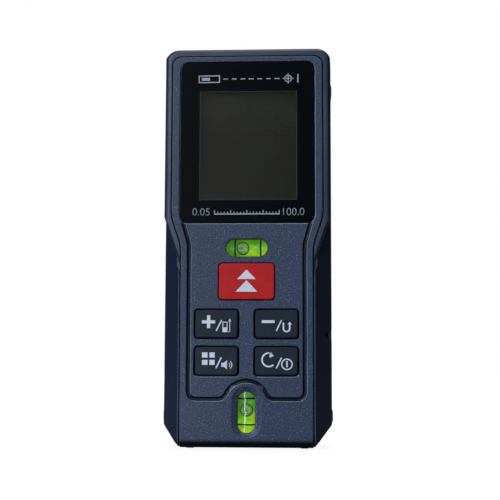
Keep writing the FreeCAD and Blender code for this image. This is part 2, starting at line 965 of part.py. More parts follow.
def shoulder_round_tool(name, side):
    """What rounds the edge of one shoulder: a square bar less the round it leaves."""
    low = FreeCAD.Vector(side * d.flank_half_width.value, RIM.value, d.shoulder_bottom.value)
    high = FreeCAD.Vector(side * HALF_WIDTH.value, RIM.value, d.shoulder_top.value)
    radius = d.shoulder_round.value
    along = (high - low).normalize()
    outward = FreeCAD.Vector(side * along.z, 0, -side * along.x)
    forward = FreeCAD.Vector(0, -1, 0)
    upward = outward.cross(forward)
    length = (high - low).Length * 2
    centre = (low + high) / 2 - outward * radius - forward * radius
    origin = centre - upward * (length / 2)
    axes = FreeCAD.Matrix(
        outward.x, forward.x, upward.x, origin.x,
        outward.y, forward.y, upward.y, origin.y,
        outward.z, forward.z, upward.z, origin.z,
        0, 0, 0, 1,
    )
    bar = DOC.addObject("Part::Box", f"{name}_bar")
    bar.Placement = FreeCAD.Placement(axes)
    bind(bar, "Length", d.shoulder_round + d.overshoot)
    bind(bar, "Width", d.shoulder_round + d.overshoot)
    bind(bar, "Height", length)
    core = DOC.addObject("Part::Cylinder", f"{name}_core")
    core.Placement = FreeCAD.Placement(axes)
    bind(core, "Radius", d.shoulder_round)
    bind(core, "Height", length)
    return cut(name, bar, [core])


def cavity_tools():
    """The hollows inside the rear housing, open to the front."""
    top = d.head_top + d.parting_gap
    opening = prism("front_opening", "Y", panel_outline(d.parting_gap, -d.overshoot), LEDGE, RIM * 2)
    inset = d.lip_inset - d.parting_gap
    throat_outline = panel_outline(-inset, TAIL + d.wall)
    throat = prism("throat", "Y", throat_outline, PCB_REAR, LEDGE - d.overshoot)
    head_half = HALF_WIDTH - d.wall
    head = box(
        "head_hollow",
        (-head_half, LEDGE + d.lip_depth, d.waist_top + d.boss_radius),
        (head_half, BACK_INSIDE, top),
    )
    neck_half = d.handle_half_width - d.lip_inset
    neck = box(
        "neck_hollow",
        (-neck_half, FACE_INSIDE, d.bay_top + d.bay_wall + d.wall),
        (neck_half, BACK_INSIDE, d.waist_top + d.wall * 2),
    )
    tail_neck = box(
        "tail_hollow",
        (-neck_half, FACE_INSIDE, TAIL + d.wall),
        (neck_half, d.bay_floor - d.bay_wall, d.waist_top),
    )
    pocket_inner = d.bay_half_width + d.bay_wall
    pocket_top = d.bay_top + d.bay_wall
    left_pocket = box(
        "left_pocket",
        (-head_half, PCB_REAR, d.bay_bottom + d.wall),
        (-pocket_inner, BACK_INSIDE, pocket_top),
    )
    right_pocket = box(
        "right_pocket",
        (pocket_inner, PCB_REAR, d.notch_height + d.notch_half_height * 2),
        (head_half, BACK_INSIDE, pocket_top),
    )
    return [opening, throat, head, neck, tail_neck, left_pocket, right_pocket]


def tail_clearance():
    """Room at the tail for the front housing's lip."""
    handle = d.handle_half_width + d.parting_gap
    lip_rear = FACE_INSIDE + d.tail_lip_depth
    return box(
        "tail_clearance",
        (-handle, RIM * 2, -d.overshoot),
        (handle, lip_rear + d.boss_gap, TAIL + d.wall + d.overshoot),
    )


def front_boss_rooms():
    """Room in the rear housing for the front housing's long posts."""
    end = d.boss_meeting + d.boss_gap
    radius = d.boss_radius + d.screw_gap
    return [
        cylinder("front_boss_room", (x, LEDGE, z), end - LEDGE, radius, "Y")
        for x, z in HOUSING_SCREWS
    ]


def rear_bosses():
    """Columns from the back wall that carry the housing screws."""
    start = d.boss_meeting + d.boss_gap
    return [
        cylinder("rear_boss", (x, start, z), BACK_INSIDE + d.wall / 2 - start, d.rear_boss_radius, "Y")
        for x, z in HOUSING_SCREWS
    ]


def screw_wells():
    """Stepped holes that the housing screws go down."""
    wells = []
    for x, z in HOUSING_SCREWS:
        shank = d.screw_radius + d.screw_gap
        cap = d.screw_cap_radius + d.screw_gap
        start = d.boss_meeting - d.overshoot
        wells.append(cylinder("screw_clearance", (x, start, z), BACK - start, shank, "Y"))
        well_length = BACK + d.overshoot - d.screw_seat
        wells.append(cylinder("screw_well", (x, d.screw_seat, z), well_length, cap, "Y"))
    return wells


def bay_tools():
    """The battery bay, the cover's seat and its hinge holes."""
    bay = box(
        "battery_bay",
        (-d.bay_half_width, d.bay_floor, d.bay_bottom),
        (d.bay_half_width, BACK + d.overshoot, d.bay_top),
    )
    gap = d.cover_gap
    barrel = d.cover_thickness / 2
    seat = cover_shape(
        "cover_seat", d.cover_half_width + gap,
        d.cover_hinge_height - barrel - gap, d.cover_top + gap,
        BACK + d.overshoot, COVER_FRONT - d.cover_back_gap,
    )
    reach = d.cover_half_width + d.hinge_pin_length + gap
    hinge = cylinder(
        "hinge_bore", (-reach, BACK - barrel, d.cover_hinge_height),
        reach * 2, d.hinge_pin_radius + d.hinge_fit, "X",
    )
    return [bay, seat, hinge]


def cover_shape(name, half, low, high, rear, front):
    """The battery cover's outline, square at the hinge and rounded at the free corners."""
    return prism(name, "Y", [
        (-half, low),
        (half, low),
        (half, high, d.cover_corner),
        (-half, high, d.cover_corner),
    ], rear, front)


def laser_end_tools():
    """The bezel's seat and the opening under it, in the top wall."""
    gap = d.bezel_gap
    seat = bezel_block("bezel_seat", gap, d.body_top - d.bezel_recess, d.body_top + d.overshoot)
    opening = bezel_block("top_opening", -d.bezel_ledge, d.head_top - d.wall, d.body_top)
    return [seat, opening]


def bezel_block(name, grow, low, high):
    """A rounded block with the bezel's outline, seen from the laser end."""
    half = d.bezel_width / 2 + grow
    tall = d.bezel_height / 2 + grow
    corner = d.bezel_corner + grow
    return prism(name, "Z", [
        (-half, d.optics_depth - tall, corner),
        (half, d.optics_depth - tall, corner),
        (half, d.optics_depth + tall, corner),
        (-half, d.optics_depth + tall, corner),
    ], low, high)


def feet():
    """Two low ribs under the tail that the meter stands on and measures from."""
    ribs = []
    for side in (-1, 1):
        x = side * d.foot_offset
        base = d.foot_base_width / 2
        flat = d.foot_flat_width / 2
        ribs.append(prism("foot", "Y", [
            (x - base, TAIL + d.overshoot),
            (x - base, TAIL),
            (x - flat, as_size(0)),
            (x + flat, as_size(0)),
            (x + base, TAIL),
            (x + base, TAIL + d.overshoot),
        ], d.foot_rear, d.foot_front))
    return ribs


def side_pads():
    """Low pads on both sides, near the tail and near the laser end."""
    pads = []
    for side in (-1, 1):
        for height in (d.pad_low, d.pad_high):
            half = d.pad_length / 2
            flat = d.pad_flat / 2
            pads.append(prism("side_pad", "Y", [
                (side * (HALF_WIDTH - d.overshoot), height - half),
                (side * HALF_WIDTH, height - half),
                (side * (HALF_WIDTH + d.pad_reach), height - flat),
                (side * (HALF_WIDTH + d.pad_reach), height + flat),
                (side * HALF_WIDTH, height + half),
                (side * (HALF_WIDTH - d.overshoot), height + half),
            ], d.pad_rear, d.pad_front))
    return pads


def lanyard_tools():
    """The wedge-shaped notch for a wrist strap and the bore for its bar."""
    mouth = d.notch_half_height * (1 + d.overshoot / d.notch_reach)
    notch = prism("lanyard_notch", "Y", [
        (HALF_WIDTH - d.notch_reach, d.notch_height),
        (HALF_WIDTH + d.overshoot, d.notch_height - mouth),
        (HALF_WIDTH + d.overshoot, d.notch_height + mouth),
    ], d.notch_rear, d.notch_front)
    return [notch, lanyard_rod("lanyard_bore")]


def lanyard_rod(name):
    """The wrist strap's bar, across the notch."""
    start = (HALF_WIDTH - d.bar_inset, d.bar_depth, d.notch_height - d.bar_length / 2)
    return cylinder(name, start, d.bar_length, d.bar_radius, "Z")


def rear_housing():
    """The rear shell with its flanks, battery bay, columns, feet and pads."""
    flanks = [flank_tool("right_flank", 1), flank_tool("left_flank", -1)]
    flanks += [shoulder_round_tool("right_shoulder", 1), shoulder_round_tool("left_shoulder", -1)]
    outside = cut("rear_outside", rear_block(), flanks)
    hollow = cut("rear_hollow", outside, cavity_tools() + [tail_clearance()])
    bay_box = box(
        "bay_walls",
        (-(d.bay_half_width + d.bay_wall), d.bay_floor - d.bay_wall, d.bay_bottom - d.bay_wall),
        (d.bay_half_width + d.bay_wall, BACK_INSIDE + d.wall / 2, d.bay_top + d.bay_wall),
    )
    solid = fuse("rear_solid", [hollow, bay_box] + rear_bosses() + feet() + side_pads())
    label = rounded_block(
        "label_recess",
        (-(d.label_width / 2 + d.label_gap), d.label_width / 2 + d.label_gap),
        (d.label_bottom - d.label_gap, d.label_top + d.label_gap),
        (BACK + d.overshoot, BACK - d.label_recess), d.label_corner + d.label_gap,
    )
    tools = bay_tools() + laser_end_tools() + screw_wells() + lanyard_tools()
    tools += optics_screw_rods("optics_screw_bore") + front_boss_rooms() + [label]
    return node("rear_housing", cut("rear_housing", solid, tools))


def housing_gasket():
    """The thin seal between the two housings."""
    outer = d.gasket_inset
    inner = d.gasket_inset + d.gasket_width
    return node("housing_gasket", panel_ring("housing_gasket", outer, inner, LEDGE, FACE_INSIDE))


# ---------------------------------------------------------------- fasteners

def pan_screw(name, seat, direction, radius, length, cap_radius, cap_height, drive_radius):
    """A screw whose head sits on seat; direction +1 or -1 is where its head points along Y."""
    x, y, z = seat
    shank_start = y - length if direction > 0 else y
    head_start = y if direction > 0 else y - cap_height
    shank = cylinder(f"{name}_shank", (x, shank_start, z), length, radius, "Y")
    head = cylinder(f"{name}_head", (x, head_start, z), cap_height, cap_radius, "Y")
    whole = fuse(f"{name}_whole", [shank, head])
    top = y + direction * cap_height
    half = d.screw_drive / 2
    depth = d.screw_drive * 2
    low_y = top - depth if direction > 0 else top - d.overshoot
    high_y = top + d.overshoot if direction > 0 else top + depth
    slots = [
        box(f"{name}_slot", (x - drive_radius, low_y, z - half), (x + drive_radius, high_y, z + half)),
        box(f"{name}_slot", (x - half, low_y, z - drive_radius), (x + half, high_y, z + drive_radius)),
    ]
    return cut(name, whole, slots)


def housing_screws():
    """The six screws that close the housing from the back."""
    screws = [
        pan_screw(
            "housing_screw", (x, d.screw_seat, z), 1, d.screw_radius, d.screw_length,
            d.screw_cap_radius, d.screw_cap_height, d.screw_drive_radius,
        )
        for x, z in HOUSING_SCREWS
    ]
    return node("housing_screws", fuse("housing_screws", screws))


def pcb_screws():
    """The four screws that hold the main board to the front housing."""
    screws = [
        pan_screw(
            "pcb_screw", (x, PCB_REAR, z), 1, d.pcb_screw_radius, d.pcb_screw_length,
            d.pcb_screw_head_radius, d.pcb_screw_head_height,
            d.pcb_screw_head_radius * d.drive_to_head,
        )
        for x, z in PCB_SCREWS
    ]
    return node("pcb_screws", fuse("pcb_screws", screws))


def optics_screw_rods(name):
    """The shanks of the two screws that hold the optical frame to the back wall."""
    start = d.frame_front
    return [
        cylinder(
            name, (d.optics_screw_offset, start, z),
            d.optics_screw_end - start, d.optics_screw_radius, "Y",
        )
        for z in (d.optics_screw_low, d.optics_screw_high)
    ]


def optics_screws():
    """The two screws that hold the optical frame."""
    seat = d.frame_front + d.optics_screw_head_height
    screws = [
        pan_screw(
            "optics_screw", (d.optics_screw_offset, seat, z), -1, d.optics_screw_radius,
            d.optics_screw_end - seat, d.optics_screw_head_radius,
            d.optics_screw_head_height, d.optics_screw_head_radius * d.drive_to_head,
        )
        for z in (d.optics_screw_low, d.optics_screw_high)
    ]
    return node("optics_screws", fuse("optics_screws", screws))


# ---------------------------------------------------------------- display

def display_window():
    """The black-bordered glass over the display."""
    front = FACE + d.glass_setback
    glass = rounded_block(
        "display_window", (-d.glass_width / 2, d.glass_width / 2), (d.glass_bottom, d.glass_top),
        (front + d.glass_thickness, front), d.glass_corner,
    )
    return node("display_window", round_edges(glass, on_plane("Y", front), d.glass_setback))


def window_adhesive():
    """The thin adhesive frame that holds the glass in its seat."""
    margin = d.adhesive_margin
    front = FACE + d.glass_setback + d.glass_thickness
    rear = FACE + d.glass_seat
    outer = rounded_block(
        "adhesive_outer",
        (-(d.glass_width / 2 - margin), d.glass_width / 2 - margin),
        (d.glass_bottom + margin, d.glass_top - margin), (rear, front), d.glass_corner,
    )
    inner = rounded_block(
        "adhesive_inner",
        (-(d.view_width / 2 + margin), d.view_width / 2 + margin),
        (d.view_bottom - margin, d.view_top + margin),
        (rear + d.overshoot, front - d.overshoot), d.view_corner,
    )
    return node("window_adhesive", cut("window_adhesive", outer, [inner]))


def lcd_glass():
    """The liquid-crystal cell, a step narrower at the bottom where its ribbon joins."""
    front = FACE_INSIDE + d.lcd_gap
    rear = front + d.lcd_thickness
    whole = rounded_block(
        "lcd_plates", (-d.lcd_width / 2, d.lcd_width / 2), (d.lcd_bottom, d.lcd_top),
        (rear, front), d.view_corner,
    )
    step = box(
        "lcd_step",
        (-d.lcd_width, front - d.overshoot, d.lcd_bottom - d.overshoot),
        (d.lcd_width, front + d.lcd_thickness / 2, d.lcd_bottom + d.lcd_step),
    )
    return node("lcd_glass", cut("lcd_glass", whole, [step]))


def lcd_frame():
    """The white tray behind the display cell, which spreads its back light."""
    front = FACE_INSIDE + d.lcd_gap
    rear = d.pcb_front - d.lcd_gap
    wall = d.tray_wall
    half = d.lcd_width / 2
    tray = rounded_block(
        "tray_block", (-(half + wall), half + wall), (d.lcd_bottom - wall, d.lcd_top + wall),
        (rear, front), d.view_corner,
    )
    seat_rear = front + d.lcd_thickness + d.ribbon_thickness
    seat = rounded_block(
        "tray_seat", (-(half + d.lcd_gap), half + d.lcd_gap),
        (d.lcd_bottom - d.lcd_gap, d.lcd_top + d.lcd_gap),
        (seat_rear, front - d.overshoot), d.view_corner,
    )
    slot = box(
        "tray_slot",
        (-d.ribbon_width / 2 - d.lcd_gap, front - d.overshoot, d.lcd_bottom - wall * 2),
        (d.ribbon_width / 2 + d.lcd_gap, seat_rear, d.lcd_bottom),
    )
    return node("lcd_frame", cut("lcd_frame", tray, [seat, slot]))


def flat_ribbon(name, x_range, path):
    """A flat flexible cable of even thickness in Y, through a path of (y, z) points."""
    half = d.ribbon_thickness / 2
    front_side = [(y - half, z) for y, z in path]
    rear_side = [(y + half, z) for y, z in reversed(path)]
    return prism(name, "X", front_side + rear_side, x_range[0], x_range[1])


def lcd_ribbon():
    """The flat cable from the display cell down to the main board's front."""
    half = d.ribbon_thickness / 2
    upper = FACE_INSIDE + d.lcd_gap + d.lcd_thickness + half
    lower = d.pcb_front - half
    path = [
        (upper, d.lcd_bottom + d.ribbon_overlap),
        (upper, d.lcd_bottom - d.ribbon_overlap),
        (lower, d.ribbon_lower_end + d.ribbon_overlap),
        (lower, d.ribbon_lower_end),
    ]
    reach = d.ribbon_width / 2
    return node("lcd_ribbon", flat_ribbon("lcd_ribbon", (-reach, reach), path))


# ---------------------------------------------------------------- keypad

def key_blank(name, centre, hole_width, hole_height, gap):
    """A key: its cap, the flange behind the face, and the plunger over its dome."""
    width = hole_width - gap * 2
    height = hole_height - gap * 2
    corner = d.hole_corner - gap
    flange_rear = FLANGE_FRONT + d.key_flange_thickness
    cap = centred_block(f"{name}_cap", centre, width, height, (flange_rear, KEY_TOP), corner)
    round_edges(cap, on_plane("Y", KEY_TOP), d.key_edge_round)
    grow = d.key_flange * 2
    flange = centred_block(
        f"{name}_flange", centre, hole_width + grow, hole_height + grow,
        (flange_rear, FLANGE_FRONT), corner,
    )
    x, z = centre
    plunger = cylinder(
        f"{name}_plunger", (x, flange_rear, z), d.plunger_end - flange_rear, d.plunger_radius, "Y",
    )
    return node(name, fuse(name, [cap, flange, plunger]))


def keys():
    """The measure key and the four small keys."""
    centre = (as_size(0), d.measure_height)
    key_blank("measure_key", centre, d.measure_hole_width, d.measure_hole_height, d.measure_gap)
    for name, middle in SMALL_KEYS.items():
        key_blank(name, middle, d.small_hole_width, d.small_hole_height, d.key_gap)


def key_centres():
    """The middle (x, z) of every key."""
    return [(as_size(0), d.measure_height)] + list(SMALL_KEYS.values())


def keypad_mat():
    """The rubber sheet behind the keys, with a border that rests on the main board."""
    rear = d.mat_front + d.mat_thickness
    half = d.mat_half_width
    sheet = rounded_block(
        "mat_sheet", (-half, half), (d.mat_bottom, d.mat_top), (rear, d.mat_front), d.mat_corner,
    )
    border_rear = d.pcb_front
    border_outer = rounded_block(
        "mat_border_outer", (-half, half), (d.mat_bottom, d.mat_top), (border_rear, rear), d.mat_corner,
    )
    inner = half - d.mat_border
    border_inner = rounded_block(
        "mat_border_inner", (-inner, inner),
        (d.mat_bottom + d.mat_border, d.mat_top - d.mat_border),
        (border_rear + d.overshoot, rear), d.mat_corner,
    )
    border = cut("mat_border", border_outer, [border_inner])
    zero = as_size(0)
    post_spots = [
        (zero, d.upper_row),
        (zero, d.lower_row),
        (-d.mat_post_offset, d.measure_height),
        (d.mat_post_offset, d.measure_height),
    ]
    posts = [
        cylinder("mat_post", (x, FACE_INSIDE, z), rear - FACE_INSIDE, d.mat_post_radius, "Y")
        for x, z in post_spots
    ]
    solid = fuse("mat_solid", [sheet, border] + posts)
    depth = d.mat_thickness + d.overshoot * 2
    holes = [
        cylinder("mat_hole", (x, d.mat_front - d.overshoot, z), depth, d.mat_hole_radius, "Y")
        for x, z in key_centres()
    ]
    return node("keypad_mat", cut("keypad_mat", solid, holes))


def contact_domes():
    """The five snap domes on the main board, one under each key."""
    domes = [
        cone(
            "contact_dome", (x, d.pcb_front - d.dome_height, z),
            d.dome_height, d.dome_top_radius, d.dome_radius, "Y",
        )
        for x, z in key_centres()
    ]
    return node("contact_domes", fuse("contact_domes", domes))


# ---------------------------------------------------------------- spirit vials

def vial_tube(name, axis, height):
    """A clear vial: a round bar bored from one end."""
    reach = d.vial_length / 2
    zero = as_size(0)
    start = (-reach, VIAL_AXIS, height)
    bore_start = (d.vial_wall - reach, VIAL_AXIS, height)
    if axis == "Z":
        start = (zero, VIAL_AXIS, height - reach)
        bore_start = (zero, VIAL_AXIS, height - reach + d.vial_wall)
    bar = cylinder(f"{name}_bar", start, d.vial_length, d.vial_radius, axis)
    bore = cylinder(f"{name}_bore", bore_start, d.vial_length, d.vial_bore, axis)
    return node(name, cut(name, bar, [bore]))


def vial_plug(name, axis, height):
    """The round plug that closes a vial's open end."""
    reach = d.vial_length / 2
    zero = as_size(0)
    start = (reach - d.vial_wall, VIAL_AXIS, height)
    if axis == "Z":
        start = (zero, VIAL_AXIS, height + reach - d.vial_wall)
    return node(name, cylinder(name, start, d.vial_wall, d.vial_bore - d.plug_gap, axis))


def vial_bubble(name, centre):
    """The bubble, a ball just smaller than the bore, which rides at its front."""
    x, z = centre
    return node(name, sphere(name, (x, VIAL_AXIS - d.bubble_lift, z), d.bubble_radius))


def vials():
    """The vial across the waist and the upright vial at the tail."""
    vial_tube("horizontal_vial", "X", d.across_height)
    vial_plug("horizontal_vial_plug", "X", d.across_height)
    vial_bubble("horizontal_bubble", (d.across_bubble, d.across_height))
    vial_tube("vertical_vial", "Z", d.upright_height)
    vial_plug("vertical_vial_plug", "Z", d.upright_height)
    vial_bubble("vertical_bubble", (as_size(0), d.upright_height + d.upright_bubble))


# ---------------------------------------------------------------- main board

def main_pcb():
    """The main circuit board."""
    half = d.pcb_half_width
    board = rounded_block(
        "pcb_board", (-half, half), (d.pcb_bottom, d.pcb_top), (PCB_REAR, d.pcb_front), d.pcb_corner,
    )
    start = d.pcb_front - d.overshoot
    depth = d.pcb_thickness + d.overshoot * 2
    holes = [
        cylinder("pcb_hole", (x, start, z), depth, d.pcb_screw_radius, "Y")
        for x, z in PCB_SCREWS
    ]
    notches = [
        cylinder("pcb_notch", (x, start, z), depth, d.boss_radius + d.screw_gap, "Y")
        for x, z in HOUSING_SCREWS
    ]
    return node("main_pcb", cut("main_pcb", board, holes + notches))


def microcontroller():
    """The square processor on the board's rear side."""
    chip = centred_block(
        "microcontroller", (d.chip_offset, d.chip_height), d.chip_side, d.chip_side,
        (PCB_REAR + d.chip_thickness, PCB_REAR), d.ribbon_thickness,
    )
    return node("microcontroller", chip)


def buzzer():
    """The round sounder on the board's rear side, with its sound hole."""
    start = (d.buzzer_offset, PCB_REAR, d.buzzer_height)
    can = cylinder("buzzer_can", start, d.buzzer_thickness, d.buzzer_radius, "Y")
    hole_start = (d.buzzer_offset, PCB_REAR + d.buzzer_thickness / 2, d.buzzer_height)
    hole = cylinder("buzzer_hole", hole_start, d.buzzer_thickness, d.buzzer_hole_radius, "Y")
    return node("buzzer", cut("buzzer", can, [hole]))


def capacitors():
    """A row of chip capacitors on the board's rear side."""
    parts = []
    for number in range(CAPACITORS):
        low = d.capacitor_height + d.capacitor_pitch * number
        parts.append(box(
            "capacitor",
            (-d.capacitor_length / 2, PCB_REAR, low),
            (d.capacitor_length / 2, PCB_REAR + d.capacitor_thickness, low + d.capacitor_width),
        ))
    return node("chip_capacitors", fuse("chip_capacitors", parts))


# ---------------------------------------------------------------- optics

def optical_frame():
    """The block that holds the laser barrel, the receiving lens and its light tunnel."""
    half = d.frame_half_width
    block = prism("frame_block", "Z", [
        (-half, d.frame_front, d.frame_corner),
        (half, d.frame_front, d.frame_corner),
        (half, d.frame_rear, d.frame_corner),
        (-half, d.frame_rear, d.frame_corner),
    ], d.frame_bottom, d.frame_top)
    laser = (d.laser_offset, d.optics_depth)
    receiver = (d.receiver_offset, d.optics_depth)
    height = d.frame_top - d.frame_bottom
    below = d.frame_bottom - d.overshoot
    barrel_bore = cylinder(
        "barrel_bore", (*laser, below), height + d.overshoot * 2, d.barrel_radius + d.barrel_fit, "Z",
    )
    detector_bore = cylinder(
        "detector_bore", (*receiver, below),
        d.detector_bore_top - below, d.detector_bore, "Z",
    )
    tunnel = cone(
        "light_tunnel", (*receiver, d.detector_bore_top),
        d.receiver_seat - d.detector_bore_top, d.detector_bore, d.receiver_clear_radius, "Z",
    )
    lens_seat = cylinder(
        "lens_seat", (*receiver, d.receiver_seat),
        d.frame_top - d.receiver_seat + d.overshoot, d.receiver_radius + d.lens_gap, "Z",
    )
    head_wells = [
        cylinder(
            "optics_screw_well", (d.optics_screw_offset, d.frame_front - d.overshoot, z),
            d.overshoot + d.optics_screw_head_height, d.optics_screw_head_radius, "Y",
        )
        for z in (d.optics_screw_low, d.optics_screw_high)
    ]
    tools = [barrel_bore, detector_bore, tunnel, lens_seat] + head_wells
    tools += optics_screw_rods("frame_screw_bore") + sensor_screw_shanks("sensor_screw_bore")
    return node("optical_frame", cut("optical_frame", block, tools))


def laser_barrel():
    """The turned barrel that holds the laser diode and its collimating lens."""
    axis = (d.laser_offset, d.optics_depth)
    length = d.frame_top - d.barrel_bottom
    bar = cylinder("barrel_bar", (*axis, d.barrel_bottom), length, d.barrel_radius, "Z")
    bottom = d.barrel_bottom - d.overshoot
    bore = cylinder("barrel_through", (*axis, bottom), length + d.overshoot * 2, d.barrel_bore, "Z")
    diode_seat = cylinder(
        "diode_seat", (*axis, bottom), d.overshoot + d.diode_seat,
        d.diode_flange_radius + d.lens_gap, "Z",
    )
    lens_seat = cylinder(
        "collimator_seat", (*axis, d.collimator_seat),
        d.frame_top - d.collimator_seat + d.overshoot, d.collimator_radius + d.lens_gap, "Z",
    )
    return node("laser_barrel", cut("laser_barrel", bar, [bore, diode_seat, lens_seat]))


def laser_diode():
    """The laser diode: a flange, a can and three pins."""
    x, y = d.laser_offset, d.optics_depth
    flange_bottom = d.barrel_bottom + d.diode_seat - d.diode_flange
    flange = cylinder(
        "diode_flange", (x, y, flange_bottom), d.diode_flange, d.diode_flange_radius, "Z",
    )
    can = cylinder(
        "diode_can", (x, y, flange_bottom + d.diode_flange), d.diode_can, d.diode_can_radius, "Z",
    )
    circle = d.diode_pin_circle
    pins = [
        cylinder(
            "diode_pin", (x + dx, y + dy, flange_bottom - d.diode_pin_length),
            d.diode_pin_length, d.diode_pin_radius, "Z",
        )
        for dx, dy in ((circle, as_size(0)), (-circle, as_size(0)), (as_size(0), circle))
    ]
    return node("laser_diode", fuse("laser_diode", [flange, can] + pins))


def flat_backed_lens(name, axis, bottom, thickness, radius, curve):
    """A lens with a flat underside and a domed top."""
    disc = cylinder(f"{name}_disc", (*axis, bottom), thickness, radius, "Z")
    ball = sphere(f"{name}_ball", (*axis, bottom + thickness - curve), curve)
    return node(name, common(name, disc, ball))


def lenses():
    """The collimating lens, the receiving lens, the colour filter and the laser's window."""
    laser = (d.laser_offset, d.optics_depth)
    receiver = (d.receiver_offset, d.optics_depth)
    flat_backed_lens(
        "collimator_lens", laser, d.collimator_seat,
        d.collimator_thickness, d.collimator_radius, d.collimator_sphere,
    )
    flat_backed_lens(
        "receiver_lens", receiver, d.receiver_seat,
        d.receiver_thickness, d.receiver_radius, d.receiver_sphere,
    )
    node("optical_filter", cylinder(
        "optical_filter", (*receiver, d.filter_height),
        d.filter_thickness, d.detector_bore - d.lens_gap, "Z",
    ))
    bezel_bottom = d.body_top - d.bezel_recess
    node("laser_window", cylinder(
        "laser_window", (*laser, bezel_bottom - d.laser_window_thickness),
        d.laser_window_thickness, d.laser_window_radius, "Z",
    ))


def light_detector():
    """The detector's can on the sensor board, under the filter."""
    axis = (d.receiver_offset, d.optics_depth)
    can = cylinder("detector_can", (*axis, d.frame_bottom), d.detector_can, d.detector_radius, "Z")
    well_bottom = d.frame_bottom + d.detector_can - d.detector_well
    well = cylinder("detector_well", (*axis, well_bottom), d.detector_can, d.detector_radius / 2, "Z")
    return node("light_detector", cut("light_detector", can, [well]))


def sensor_screw_spots():
    """The (x, y) places of the sensor board's two screws."""
    return [
        (-d.frame_half_width + d.sensor_screw_offset * 2, d.optics_depth),
        (d.optics_screw_offset, d.sensor_screw_depth),
    ]


def sensor_screw_shanks(name):
    """The shanks of the sensor board's screws."""
    start = d.frame_bottom - d.sensor_pcb_thickness
    return [
        cylinder(
            name, (x, y, start), d.sensor_screw_length + d.sensor_pcb_thickness,
            d.pcb_screw_radius, "Z",
        )
        for x, y in sensor_screw_spots()
    ]


def sensor_pcb():
    """The small board across the lower end of the optical frame."""
    half = d.frame_half_width
    board = prism("sensor_board", "Z", [
        (-half, d.frame_front, d.frame_corner),
        (half, d.frame_front, d.frame_corner),
        (half, d.frame_rear, d.frame_corner),
        (-half, d.frame_rear, d.frame_corner),
    ], d.frame_bottom - d.sensor_pcb_thickness, d.frame_bottom)
    return node("sensor_pcb", cut("sensor_pcb", board, sensor_screw_shanks("sensor_board_hole")))


def sensor_screws():
    """The two screws that hold the sensor board to the optical frame."""
    bottom = d.frame_bottom - d.sensor_pcb_thickness
    heads = [
        cylinder(
            "sensor_screw_head", (x, y, bottom - d.pcb_screw_head_height),
            d.pcb_screw_head_height, d.pcb_screw_head_radius, "Z",
        )
        for x, y in sensor_screw_spots()
    ]
    rods = sensor_screw_shanks("sensor_screw_shank")
    return node("sensor_screws", fuse("sensor_screws", heads + rods))


def sensor_ribbon():
    """The flat cable from the main board's rear side to the sensor board's underside."""
    half = d.ribbon_thickness / 2
    board_bottom = d.frame_bottom - d.sensor_pcb_thickness
    near = PCB_REAR + half
    width = d.sensor_ribbon_width / 2
    low = board_bottom - d.sensor_ribbon_drop
    rear = d.frame_front + d.ribbon_bend
    path = [
        (near, low - d.ribbon_overlap),
        (near, low),
        (rear, board_bottom - d.ribbon_turn),
        (rear, board_bottom),
    ]
    x_range = (d.sensor_ribbon_offset - width, d.sensor_ribbon_offset + width)
    return node("sensor_ribbon", flat_ribbon("sensor_ribbon", x_range, path))


def optics_bezel():
    """The dark plate at the laser end, with a flared port for each light path."""
    bottom = d.body_top - d.bezel_recess
    plate = bezel_block("bezel_plate", as_size(0), bottom, bottom + d.bezel_thickness)
    tools = []
    ports = (
        ("laser_port", d.laser_offset, d.laser_port_radius),
        ("receiver_port", d.receiver_offset, d.receiver_clear_radius),
    )
    for name, x, radius in ports:
        start = (x, d.optics_depth, bottom - d.overshoot)
        length = d.bezel_thickness + d.overshoot * 2
        tools.append(cylinder(name, start, length, radius, "Z"))
        flare = (x, d.optics_depth, bottom + d.bezel_thickness - d.port_flare)
        tools.append(cone(f"{name}_flare", flare, d.port_flare, radius, radius + d.port_flare, "Z"))
    return node("optics_bezel", cut("optics_bezel", plate, tools))


# ---------------------------------------------------------------- power

def battery_cells():
    """Two cells side by side, one each way up."""
    depth = d.cell_depth
    bottom_contact = d.bay_bottom + d.contact_thickness
    top_contact = d.bay_top - d.contact_thickness
    spots = {
        "battery_cell_left": (-d.cell_spacing / 2, top_contact - d.cell_length, 1),
        "battery_cell_right": (d.cell_spacing / 2, bottom_contact, -1),
    }
    for name, (x, bottom, way) in spots.items():
        can_length = d.cell_length - d.cell_nub
        can_start = bottom if way > 0 else bottom + d.cell_nub
        nub_start = bottom + can_length if way > 0 else bottom
        can = cylinder(f"{name}_can", (x, depth, can_start), can_length, d.cell_radius, "Z")
        nub = cylinder(f"{name}_nub", (x, depth, nub_start), d.cell_nub, d.cell_nub_radius, "Z")
        node(name, fuse(name, [can, nub]))


def battery_contacts():
    """The plate that joins the two cells at the tail, and the two terminals at the other end."""
    low_y = d.cell_depth - d.contact_half_height
    high_y = d.cell_depth + d.contact_half_height
    wide = d.bay_half_width - d.contact_margin
    bridge = box(
        "bridge_contact", (-wide, low_y, d.bay_bottom),
        (wide, high_y, d.bay_bottom + d.contact_thickness),
    )
    node("bridge_contact", bridge)
    terminals = []
    for low, high in ((-wide, -d.contact_margin), (d.contact_margin, wide)):
        terminals.append(box(
            "terminal_contact", (low, low_y, d.bay_top - d.contact_thickness),
            (high, high_y, d.bay_top),
        ))
    node("terminal_contacts", fuse("terminal_contacts", terminals))


